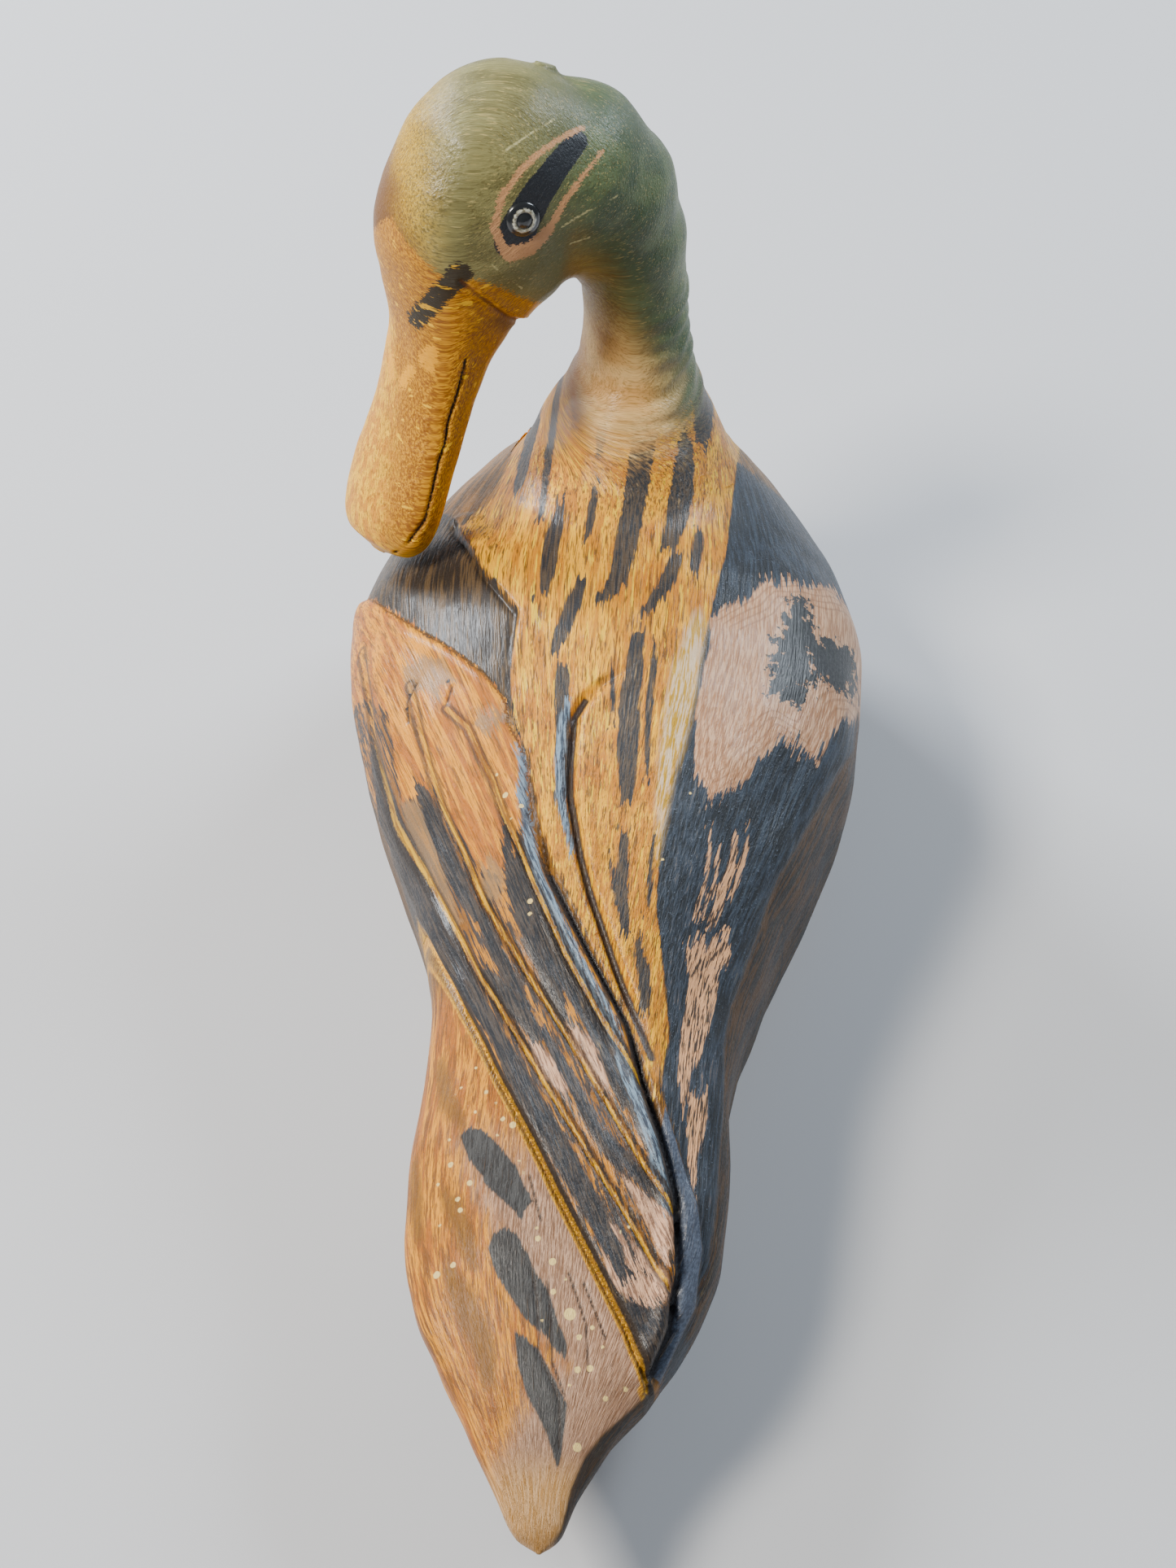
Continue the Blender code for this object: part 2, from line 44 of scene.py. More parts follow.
# ---------------------------------------------------------------- shape tables, mm
# Body stations: y, left half width, right half width, widest height, top, bottom.
BODY = [
    (-130, 0.6, 0.6, 36, 37, 35),
    (-128.5, 8.5, 8.5, 36, 43, 28),
    (-125, 17, 17, 36.5, 47, 20),
    (-118, 26, 26, 37, 51, 10),
    (-108, 34.5, 34, 37.5, 55, 2),
    (-95, 43.5, 42, 38, 59.5, -3.5),
    (-80, 50.5, 47.5, 38, 64, -6),
    (-62, 53, 50.5, 37.5, 68, -7),
    (-48, 51, 50.5, 37, 68, -7),
    (-32, 47, 48.5, 36, 66.5, -7),
    (-16, 41, 43.5, 35, 64, -6.5),
    (0, 34, 38, 34, 60.5, -6),
    (14, 29.5, 33, 33.5, 56.5, -5),
    (28, 27, 29, 33, 52, -4),
    (42, 27, 27.5, 32.5, 48, -1),
    (56, 27.5, 27.5, 32, 44.5, 5),
    (70, 27, 27, 31, 41, 11),
    (82, 24.5, 23.5, 29.5, 38, 15.5),
    (94, 18.5, 17.5, 28, 35, 18.5),
    (104, 12.5, 11.5, 26.5, 32, 20.5),
    (113, 7.5, 6.5, 25.5, 29.5, 22),
    (119.5, 4, 3.5, 25, 27.6, 23),
    (122, 0.5, 0.5, 25, 25.5, 24.5),
]
UPPER_POWER, LOWER_POWER = 2.35, 3.0
SHELL_BOTTOM = 8.3

HEAD_CENTRE = np.array([27.6, -101.1, 122.3])
BILL_WAY = np.array([0.385, 0.523, -0.757])
CROWN_WAY = np.array([0.594, 0.426, 0.624])
# Head stations: distance along the bill, half width, top, bottom.
HEAD = [
    (-26.8, 1, 1.5, -1),
    (-25.4, 6.5, 7.5, -5.5),
    (-21.8, 11.5, 13, -11),
    (-15.6, 15.2, 17.6, -16),
    (-7, 17.3, 20.6, -19),
    (2, 17.6, 20.6, -20.6),
    (9, 16.8, 19.6, -21),
    (14.5, 14.8, 17.2, -18.6),
    (20.5, 12.7, 12.6, -15.6),
    (28, 11.2, 6.4, -14),
    (37, 11.4, 2.2, -13.8),
    (47.5, 12.3, -0.6, -14.6),
    (57.5, 13.2, -2.6, -15.8),
    (64.5, 12.3, -4, -16.4),
    (69, 8.5, -5.9, -15.8),
    (70.8, 1.8, -10.4, -12.4),
]
HEAD_POWER = 2.1
# Neck: x, y, z of the centre line and its radius across.
NECK = [
    (0, -99, 50, 24),
    (-0.6, -101, 62, 20),
    (-1.3, -104, 73, 14.8),
    (-1.6, -107, 84, 11.2),
    (-1.2, -109.5, 97, 10.2),
    (0.6, -111, 108.5, 11.2),
    (5, -111.5, 118.5, 13.4),
    (11, -110, 125, 15),
    (18, -107.5, 126.5, 14.5),
]
NECK_DEPTH = 1.22
SEAM_CENTRE, SEAM_HALF, SEAM_LOW = (0.0, -99.0), (26.0, 23.5), 52.0


# How far the pieces melt into each other: the balls of the neck, neck and head, neck and breast.
NECK_BLEND, HEAD_BLEND, BREAST_BLEND = 1.5, 7.0, 17.0
NECK_FROM = (-50, 30)  # the neck melts into the body in front of this y and above this z
SEAM_GAP = 1.5
BODY_ENDS, HEAD_ENDS = (-130.2, 122.2), (-27.0, 71.0)
HEAD_LOW = -24  # the head and the bill lie above this on the crown axis
NECK_PAINT = (71.0, 84.0)  # the paint of the neck takes over between these heights
FAR, NEAR_MARGIN = 6.0, 8.0  # distances to drawn shapes stop at FAR
WING_LEAN = math.atan2(50.0, 110.0)


def monotone_table(stations, step=0.1):
    """Fine table of the stations along a monotone cubic."""
    table = np.array(stations, float)
    x, y = table[:, 0], table[:, 1:]
    h = np.diff(x)[:, None]
    slope = np.diff(y, axis=0) / h
    same = slope[:-1] * slope[1:] > 0
    wa, wb = 2 * h[1:] + h[:-1], h[1:] + 2 * h[:-1]
    with np.errstate(divide="ignore", invalid="ignore"):
        mean = (wa + wb) / (wa / slope[:-1] + wb / slope[1:])
    tangent = np.vstack([slope[:1], np.where(same, mean, 0.0), slope[-1:]])
    where = np.arange(x[0], x[-1] + step / 2, step)
    i = np.clip(np.searchsorted(x, where) - 1, 0, len(x) - 2)
    t = ((where - x[i]) / h[i, 0])[:, None]
    hi = h[i]
    rows = (1 + 2 * t) * (1 - t) ** 2 * y[i] + t * (1 - t) ** 2 * hi * tangent[i]
    rows += t * t * (3 - 2 * t) * y[i + 1] - t * t * (1 - t) * hi * tangent[i + 1]
    return where, rows.astype(np.float32)


BODY_TABLE = monotone_table(BODY)
HEAD_TABLE = monotone_table(HEAD)


def look_up(table, where):
    at, rows = table
    return [np.interp(where, at, rows[:, k]).astype(np.float32) for k in range(rows.shape[1])]


def unit(v):
    return v / np.linalg.norm(v)


FORWARD = unit(BILL_WAY)
CROWN = unit(CROWN_WAY - FORWARD * np.dot(CROWN_WAY, FORWARD))
CHEEK = np.cross(CROWN, FORWARD)


def smooth_min(a, b, k):
    share = np.clip(0.5 + 0.5 * (b - a) / k, 0, 1)
    return b + (a - b) * share - k * share * (1 - share)


def body_field(x, y, z):
    left, right, widest, top, bottom = look_up(BODY_TABLE, y)
    width = np.where(x > 0, left, right)
    rise = z - widest
    above = rise > 0
    height = np.where(above, top - widest, widest - bottom)
    a = np.abs(x) / width
    b = np.abs(rise) / height
    up = (a ** UPPER_POWER + b ** UPPER_POWER) ** (1 / UPPER_POWER)
    down = (a ** LOWER_POWER + b ** LOWER_POWER) ** (1 / LOWER_POWER)
    size = np.minimum(width, height)
    field = (np.where(above, up, down) - 1) * size
    return np.maximum(field, np.maximum(BODY_ENDS[0] - y, y - BODY_ENDS[1]))


def head_local(x, y, z):
    dx, dy, dz = x - HEAD_CENTRE[0], y - HEAD_CENTRE[1], z - HEAD_CENTRE[2]
    return [dx * w[0] + dy * w[1] + dz * w[2] for w in (FORWARD, CHEEK, CROWN)]


def head_field(x, y, z):
    f, l, u = head_local(x, y, z)
    half, top, bottom = look_up(HEAD_TABLE, f)
    centre, height = 0.5 * (top + bottom), 0.5 * (top - bottom)
    r = (np.abs(l) / half) ** HEAD_POWER + (np.abs(u - centre) / height) ** HEAD_POWER
    field = (r ** (1 / HEAD_POWER) - 1) * np.minimum(half, height)
    return np.maximum(field, np.maximum(HEAD_ENDS[0] - f, f - HEAD_ENDS[1]))


def neck_field(x, y, z):
    best = np.full(np.broadcast(x, y, z).shape, 1e3, np.float32)
    for (ax, ay, az, ar), (bx, by, bz, br) in zip(NECK[:-1], NECK[1:]):
        ux, uy, uz = bx - ax, (by - ay) / NECK_DEPTH, bz - az
        px, py, pz = x - ax, (y - ay) / NECK_DEPTH, z - az
        t = np.clip((px * ux + py * uy + pz * uz) / (ux * ux + uy * uy + uz * uz), 0, 1)
        away = np.sqrt((px - t * ux) ** 2 + (py - t * uy) ** 2 + (pz - t * uz) ** 2)
        best = smooth_min(best, away - (ar + (br - ar) * t), NECK_BLEND)
    return best


def seam_field(x, y, z):
    """Below zero in the round patch of the breast that the neck block covers."""
    across, along = (x - SEAM_CENTRE[0]) / SEAM_HALF[0], (y - SEAM_CENTRE[1]) / SEAM_HALF[1]
    return (np.sqrt(across**2 + along**2) - 1) * SEAM_HALF[1]


def body_piece(x, y, z):
    whole = body_field(x, y, z)
    if y.min() < NECK_FROM[0]:
        near = (y < NECK_FROM[0]) & (z > NECK_FROM[1])
        whole = np.where(near, smooth_min(neck_field(x, y, z), whole, BREAST_BLEND), whole)
    cut = seam_field(x, y, z) + SEAM_GAP
    whole = np.maximum(whole, np.where(z > SEAM_LOW, -cut, -50.0))
    return np.maximum(whole, SHELL_BOTTOM - z)


def head_piece(x, y, z):
    neck = neck_field(x, y, z)
    head = smooth_min(head_field(x, y, z), neck, HEAD_BLEND)
    breast = smooth_min(neck, body_field(x, y, z), BREAST_BLEND)
    base = np.maximum(breast, np.maximum(seam_field(x, y, z), SEAM_LOW - z))
    return np.minimum(np.maximum(head, SEAM_LOW - z), base)


# ---------------------------------------------------------------- drawing on the plan
# Carved lines and paint edges are drawn on the plan of the body, x to the duck's left, y to the tail.
VEE = [(33, -78), (32, -73.6), (25.1, -58.4), (17.4, -46.4)]
SHOULDER_EDGE = [(17.7, -31.8), (16.1, -20.5), (12.7, -13.7)]
COVERT_EDGE = [
    (58, -72), (51.1, -66.9), (44, -55.3), (36.5, -46), (28.6, -38.2), (22.5, -31.9), (17.9, -25.4),
    (16.9, -20.1), (14.2, -15.2), (12.5, -10.1), (11.2, -0.4),
]
WING_EDGE = [
    (11.5, -8.1), (6.9, 10.6), (-0.9, 24.2), (-8.4, 36.3), (-15.4, 55.1), (-18.9, 66.3), (-19.5, 77.2),
    (-18.7, 86.5), (-16.1, 93.5),
]
WING_LOW = [
    (38, -8), (31.2, 8.3), (20.1, 33), (12.4, 47.4), (4.8, 60), (1.3, 66.2), (-5.5, 77.3), (-12.1, 88.1),
    (-15.8, 95.8),
]
GROOVES = [
    [(48.3, -49.9), (43.7, -29.6), (40, -18.8), (36.9, -10.9), (32.8, -2.7), (24.1, 14.6), (17.6, 27.8),
     (5.9, 46.2), (-3.3, 59.6), (-9.4, 67.9), (-18, 80.5)],
    [(36.6, -33.8), (33.6, -23.5), (31, -15.5), (27.3, -6), (22.7, 4), (17.9, 14.5), (10, 27.4), (0.5, 41),
     (-10.8, 58), (-18.1, 67.7)],
    [(28.7, -25.5), (24.2, -20.3), (21.2, -13.6), (18.5, -8.4), (15.7, -0.9), (12, 6.4), (9.4, 12.3),
     (3, 24.8), (-3.1, 34.4), (-11.5, 46.6)],
]
STRIP_EDGE = [(-15.9, 49.5), (-22, 64.6), (-23.6, 72.2), (-22.9, 81.3), (-17.6, 93.7)]
CRESCENT = [
    (-4.6, -34), (0.2, -30), (3.1, -26.1), (4.9, -22), (4.9, -12.5), (4.5, -5.2), (1.7, 6.5), (-0.6, 13.5),
    (-6, 26.4), (-13.1, 41.5),
]
RIGHT_EDGE = [
    (-23.5, -99.7), (-22, -67.8), (-20.8, -59.7), (-19.3, -48.1), (-17.9, -38.4), (-16.8, -25.3),
    (-14.3, -12.1), (-12.4, 2.7), (-12.4, 14.8), (-13.8, 22.4),
]
FLANK_EDGE = [
    (-56, -60), (-49.6, -46.5), (-48.1, -35.3), (-42.1, -19.3), (-36.7, -5.8), (-34, 0.7), (-30, 14.4),
    (-26.3, 27.1), (-25.3, 34.5), (-25.8, 45.7), (-25.9, 59.9), (-25, 74), (-20, 92),
]
TAN_PATCH = [
    (-19.3, -48.1), (-26.8, -56.6), (-29.6, -61.7), (-38.7, -66), (-43.6, -71.7), (-52, -72), (-55, -50),
    (-48.5, -41), (-45.2, -37.1), (-40.3, -24.8), (-34, -24.8), (-29.8, -18.7), (-26.4, -12.4),
    (-21, -7.1), (-17.9, -12.9), (-17.6, -25), (-18.4, -34), (-19.6, -41),
]
TAIL_EDGE_RIGHT = [
    (-15.2, 96.6), (-13.1, 99.4), (-8.6, 104.2), (-6.4, 107.6), (-4.5, 112.7), (-3.4, 118.7), (-1.3, 122.4),
]


def segment_distance(x, y, a, b):
    ax, ay = a[:2]
    bx, by = b[:2]
    ux, uy = bx - ax, by - ay
    t = np.clip(((x - ax) * ux + (y - ay) * uy) / (ux * ux + uy * uy + 1e-9), 0, 1)
    return np.hypot(x - ax - t * ux, y - ay - t * uy), t


def line_distance(x, y, line):
    best = np.full(x.shape, 1e3)
    for a, b in zip(line[:-1], line[1:]):
        best = np.minimum(best, segment_distance(x, y, a, b)[0])
    return best


def side_distance(x, y, line):
    """Distance to an open line, above zero on the right-hand side of the way it runs."""
    best = np.full(x.shape, 1e3)
    sign = np.ones(x.shape)
    for a, b in zip(line[:-1], line[1:]):
        d, _ = segment_distance(x, y, a, b)
        cross = (b[0] - a[0]) * (y - a[1]) - (b[1] - a[1]) * (x - a[0])
        nearer = d < best - 1e-6
        best = np.where(nearer, d, best)
        sign = np.where(nearer, np.where(cross > 0, -1.0, 1.0), sign)
    return best * sign


def polygon_distance(x, y, corners):
    """Distance to a closed outline, below zero inside."""
    best = np.full(x.shape, 1e3)
    inside = np.zeros(x.shape, bool)
    for a, b in zip(corners, corners[1:] + corners[:1]):
        best = np.minimum(best, segment_distance(x, y, a, b)[0])
        crosses = (a[1] > y) != (b[1] > y)
        with np.errstate(divide="ignore", invalid="ignore"):
            at = a[0] + (y - a[1]) * (b[0] - a[0]) / (b[1] - a[1])
        inside ^= crosses & (x < at)
    return np.where(inside, -best, best)


def stroke_distance(x, y, line, width, taper=0.45):
    """Distance to a brush stroke, below zero inside. It thins towards both of its ends."""
    best = np.full(x.shape, 1e3)
    lengths = [math.hypot(b[0] - a[0], b[1] - a[1]) for a, b in zip(line[:-1], line[1:])]
    whole, done = sum(lengths), 0.0
    for a, b, length in zip(line[:-1], line[1:], lengths):
        d, t = segment_distance(x, y, a, b)
        share = (done + t * length) / whole
        half = 0.5 * width * (1 - taper * np.abs(2 * share - 1) ** 2.5)
        best = np.minimum(best, d - half)
        done += length
    return best


def near_only(function, x, y, points, *rest):
    """The function where the point is near the shape, and FAR anywhere else."""
    corners = np.array([p[:2] for p in points])
    low, high = corners.min(axis=0) - NEAR_MARGIN, corners.max(axis=0) + NEAR_MARGIN
    close = (x > low[0]) & (x < high[0]) & (y > low[1]) & (y < high[1])
    result = np.full(x.shape, FAR)
    result[close] = np.clip(function(x[close], y[close], points, *rest), -FAR, FAR)
    return result


def nearest(x, y, strokes=(), outlines=()):
    best = np.full(x.shape, FAR)
    for line, width in strokes:
        best = np.minimum(best, near_only(stroke_distance, x, y, line, width))
    for corners in outlines:
        best = np.minimum(best, near_only(polygon_distance, x, y, corners))
    return best


def ramp(value, low, high):
    t = np.clip((value - low) / (high - low), 0, 1)
    return t * t * (3 - 2 * t)


# ---------------------------------------------------------------- painted shapes, plan mm
WING = COVERT_EDGE + WING_EDGE[1:] + WING_LOW[::-1] + [(42, -14), (60, -40)]
OCHRE = [(20, -130), (26, -86), (32, -76)] + VEE[2:] + SHOULDER_EDGE
OCHRE += [(9, 2), (0, 20), (-8, 34), (-14, 47), (-16.1, 38)] + RIGHT_EDGE[::-1] + [(-24, -130)]
SHOULDER = [(33, -80)] + VEE[1:] + SHOULDER_EDGE[:2] + [(13.5, -15)]
SHOULDER += COVERT_EDGE[6:0:-1] + [(60, -74), (58, -96), (44, -98)]
BLACK = RIGHT_EDGE + [(-16.1, 36.5), (-15, 47)] + STRIP_EDGE[1:] + [
    (-24, 92), (-30, 60), (-26.3, 27.1), (-34, 0.7), (-42.1, -19.3), (-60, -46.5), (-60, -104), (-36, -104),
]
# A pale strip between the ochre back and the black right wing: partly paint, partly a painted sheen.
WEDGE_AND_SHEEN = [
    (-18.6, -46), (-17.6, -36), (-17.2, -27.7), (-15.4, -16.8), (-14.3, -12.1), (-12.4, 2.7), (-11.9, 6),
    (-11.4, -9.2), (-11.6, -22.9), (-12.8, -34.4), (-15, -44), (-17, -50),
]
FRONT_STREAKS = [
    ([(18.9, -122), (19.4, -102.2), (21.1, -84.4)], 3.4),
    ([(13.8, -112.9), (14.6, -92), (15.6, -73.8)], 1.7),
    ([(9.7, -107.1), (9.2, -92.3)], 3.1),
    ([(-6.8, -112), (-4.6, -89.6), (-2.5, -68), (-1.1, -55.4), (1.7, -49.9)], 4.7),
    ([(-16.7, -108.5), (-15.9, -92.4)], 3.9),
    ([(-13, -90.3), (-12.2, -78.8), (-10.6, -66)], 4.4),
    ([(-12.3, -63.7), (-10.1, -54), (-6.8, -47.5)], 3.1),
    ([(11.5, -75.6), (12.6, -63.4), (12.9, -52.6)], 3.6),
    ([(6, -55), (7.6, -45.9), (9.5, -37.2)], 3.1),
    ([(-16.5, -72), (-15.6, -60)], 2.1),
    ([(3.6, -98), (4.4, -84)], 2),
    ([(4.8, -78), (5.6, -68)], 1.8),
]
BACK_STREAKS = [
    ([(-5.9, -41.5), (-5.1, -24.1), (-6, -5)], 4),
    ([(-9.3, -39.7), (-8.8, -24.4), (-9.2, -9.9)], 1.3),
    ([(8, -32.8), (6.9, -21.6), (5.9, -6.4)], 3),
    ([(-5.8, 2.3), (-5.9, 11.2), (-7.1, 19.8)], 2.5),
    ([(-9.6, 21.8), (-10.8, 27.4), (-11.5, 33.6)], 2.4),
    ([(-3.8, 6.6), (-5.3, 16)], 0.8),
    ([(-11, 4.2), (-11, 15.3)], 0.9),
    ([(-1.2, -36), (-2.6, -20)], 0.8),
]
FEATHER_DARK = [
    ([(43, -26), (39, -14.8), (35.4, -6.2), (29.7, 6.3), (23.8, 19.7), (18.4, 31), (11.5, 43.1)], 3.2),
    ([(14, 38.5), (8.2, 49), (1, 60.1), (-5.9, 70.7), (-10.5, 79.6)], 3.8),
    ([(31.9, -11.6), (29.9, -6.6), (26.4, 0.8), (21.7, 11.5), (18.6, 16.9)], 2.3),
    ([(18.4, 16.3), (15.1, 23.5), (10.3, 32.2), (8.7, 34.5)], 1.9),
    ([(16.5, 27.7), (10.8, 34.4), (6.5, 39.6)], 2.9),
    ([(5.6, 39), (0, 48), (-5.1, 56.9), (-9, 62.3)], 2),
    ([(-4.4, 66.1), (-11.5, 78.7)], 1.2),
    ([(-6.6, 65.9), (-13.1, 77.9)], 0.8),
    ([(15.7, 0.7), (12.5, 13.7), (8.1, 24.3), (2.9, 35.9)], 2.2),
    ([(9, 19.3), (5.5, 28.7), (2.9, 36.9)], 3.3),
    ([(-0.6, 34.3), (-4.6, 41.2), (-8.8, 50.9)], 2.3),
    ([(-6.2, 56.4), (-11.3, 62), (-14.4, 64.7), (-17.7, 67.4)], 2),
    ([(12.6, 4.6), (9.6, 13.9), (2, 28.6), (-6, 41.1), (-13.9, 55.8), (-17.6, 66.3)], 4.2),
]
FEATHER_TIP = [(-9.4, 82.4), (-15.7, 94.5), (-18.2, 90), (-19.2, 82.6), (-15.1, 84.3), (-11.8, 83.6)]
# Blue-grey painted highlights along the raised edges beside the wing edge and the crescent cut.
RIM_HIGHLIGHTS = [
    ([(13.6, -13), (12.6, -4), (9.2, 10.4), (1.4, 25.4), (-6, 37.6), (-13, 56), (-16.8, 67)], 2.1),
    ([(6.4, -25), (6.9, -18), (6.7, -11), (6, -4), (3.4, 5)], 1.9),
]
OVAL = [(38.5, -38.7), (34.5, -39), (30.6, -37.2), (28, -31.5), (31, -29.1), (37.1, -32.1)]
KNOT = [([(20.1, -21.6), (19.9, -19.8)], 6.6)]
HOLES = [(29, -31.5, 0.42), (36.4, -31.6, 0.3), (36.6, -29, 0.35), (-36.4, 3.8, 0.4), (-30.6, -42, 0.35)]
GREY_BLOB = [([(17.1, 7.9), (16.3, 13.8)], 3.4)]
BROWN_PANEL = [(35.5, -11.8), (30.4, -8.9), (21.8, 16.4), (25, 16.3), (31.6, 0.9)]
# Pale pinkish feather ends on the left wing: partly paint, partly a painted sheen.
PALE_ENDS_AND_SHEEN = [
    [(8.2, 39.6), (4.4, 43), (0.6, 47.3), (0.9, 50.5), (6.3, 46.1)],
    [(2.5, 36.7), (-3.8, 40.5), (-6.4, 49.3), (-3.6, 48.1)],
    [(-4.3, 68.1), (-16.6, 77.3), (-19, 80.7), (-15.5, 84.3), (-11.4, 83.7), (-8.6, 81.1)],
    [(-8.8, 62.8), (-15.2, 66.8), (-18.4, 69), (-18.6, 71.7), (-17.1, 77.2), (-13.3, 69.8)],
]
COVERT = COVERT_EDGE + [
    (12.7, 4.1), (10.4, 5.5), (15.6, 10.5), (18.2, 9.2), (29, -9.5), (35.1, -11), (40, -30), (60, -56),
]
TAN_STREAKS = [
    ([(-21.4, 0.4), (-21.1, 7.6), (-19.4, 15)], 0.8),
    ([(-22.9, 1.6), (-22.7, 7.6), (-20.8, 14)], 0.7),
    ([(-26.2, -2.6), (-25.3, 4.2), (-22.2, 15.8)], 1.4),
    ([(-28.2, -3.4), (-27.4, 2.5), (-25.4, 9.3)], 0.9),
]
TAN_FEATHERS = [
    [(-18.1, 20.9), (-19.9, 18.5), (-21.4, 18.4), (-25.3, 15.5), (-25.9, 18.9), (-25.1, 21), (-23.8, 22.9),
     (-23.2, 29.2), (-21.7, 36.7), (-19.9, 43.4), (-19.3, 50.6), (-17.7, 42.8), (-18.1, 35.1),
     (-18.9, 27.2)],
    [(-20, 46.4), (-22.7, 44.8), (-23.3, 49.3), (-22.5, 54.7), (-21.6, 63), (-19.9, 52.5)],
]
SMUDGE = [
    [(-35, -60.5), (-38.1, -61), (-40.6, -50.5), (-40.2, -41), (-36.3, -33.4), (-31, -33.5), (-32.3, -46.5)],
    [(-37.3, -51.1), (-47.6, -57.6), (-49.6, -50.8), (-46.8, -43.9), (-39.8, -42)],
]
LEAVES = [
    [(18.7, 56.6), (17.2, 55.3), (15.2, 55.7), (12.4, 58), (8.7, 62.1), (6.4, 66.5), (5.1, 68.1),
     (6.6, 69.8), (6.6, 71.7), (8.9, 69.4), (12.5, 66.5), (14.4, 63.7), (16.6, 61)],
    [(12, 76.2), (11.4, 73.8), (9.5, 72.7), (7.5, 73.7), (5.6, 76.5), (3.7, 79.9), (1.5, 82.8),
     (-0.3, 87.1), (-2.2, 91.1), (-2.4, 93.4), (-0.7, 92.4), (1.7, 89.8), (5.1, 87.4), (7.7, 83.9),
     (10.5, 80.1)],
    [(6.6, 89.3), (4.9, 90.3), (2.3, 92.2), (-0.2, 96.1), (-2.9, 100.2), (-2.6, 108), (-2.2, 110.5),
     (-0.4, 106), (1.6, 102.3), (3.6, 99.5), (5.6, 94.8)],
]
FADED_LEAVES = [
    ([(20.2, 66.6), (16.8, 72), (14.5, 78.2)], 3),
    ([(18.2, 79.6), (14.2, 86.9), (11.4, 91.9), (10.2, 96.8)], 4),
    ([(24, 41.2), (21.6, 49.4), (18.6, 54.5)], 2.8),
    ([(26.3, 58.8), (25, 68.2), (24, 73.5)], 2.2),
]
DOTS = [
    (-2.3, 86.2, 1), (0.7, 82.8, 0.5), (1.2, 77.9, 0.62), (3.9, 74.3, 0.5), (-6.1, 88.1, 0.4),
    (-4.1, 89.8, 0.5), (-4.2, 94.9, 0.55), (-6.2, 94.5, 0.55), (-9, 98.7, 0.45), (-12.1, 96.7, 0.4),
    (17.3, 69.6, 0.45), (17.9, 67.7, 0.45), (16.1, 65.1, 0.5), (19.7, 61.5, 0.5), (14.9, 49, 0.4),
    (11.5, 54.1, 0.45), (9.7, 55.2, 0.6), (20.3, 79.9, 0.6), (17.7, 78.6, 0.5), (-5, 106.5, 0.7),
    (16.4, 52.5, 0.3), (13, 51.2, 0.3), (12.2, 57, 0.3), (8.1, 61.4, 0.3), (7.2, 63.4, 0.3),
    (19.4, 47.6, 0.3), (17.2, 44.2, 0.3), (20.4, 57, 0.3), (-8, 91, 0.3), (-3.1, 97.4, 0.3),
    (2.2, 87.6, 0.3), (4.2, 72.6, 0.3), (-1.2, 80.6, 0.3), (20.6, 71.8, 0.3), (21.6, 64.6, 0.3),
    (9.8, 15.4, 0.5), (9.6, 17.8, 0.4), (12.6, -2.2, 0.45), (15.8, -5, 0.55), (14.4, -0.4, 0.3),
    (17.8, -9.4, 0.3), (-11, 71.4, 0.35), (-9.6, 72.4, 0.3), (-13, 6, 0.3), (-17.4, -8, 0.3),
]
CRACKS = [
    [(4.4, 79.4), (3, 86), (2.4, 92.5), (-1.6, 99.6), (-2.1, 107)],
    [(1.8, 81.2), (0.6, 88), (0, 94), (-2.4, 99)],
    [(-1.6, 79.6), (-5, 87.4), (-6, 95)],
    [(-4.2, 81), (-8.4, 89.6)],
    [(6.2, 63.8), (3.6, 71.4)],
    [(35.2, -33.4), (36.8, -30.2), (36, -25.8)],
    [(28.2, -30), (28.8, -26.4)],
]


# ---------------------------------------------------------------- carving
def groove(d, depth, half, sharp=1.0):
    """A V cut along a line at distance d."""
    return -depth * np.clip(1 - d / half, 0, 1) ** sharp


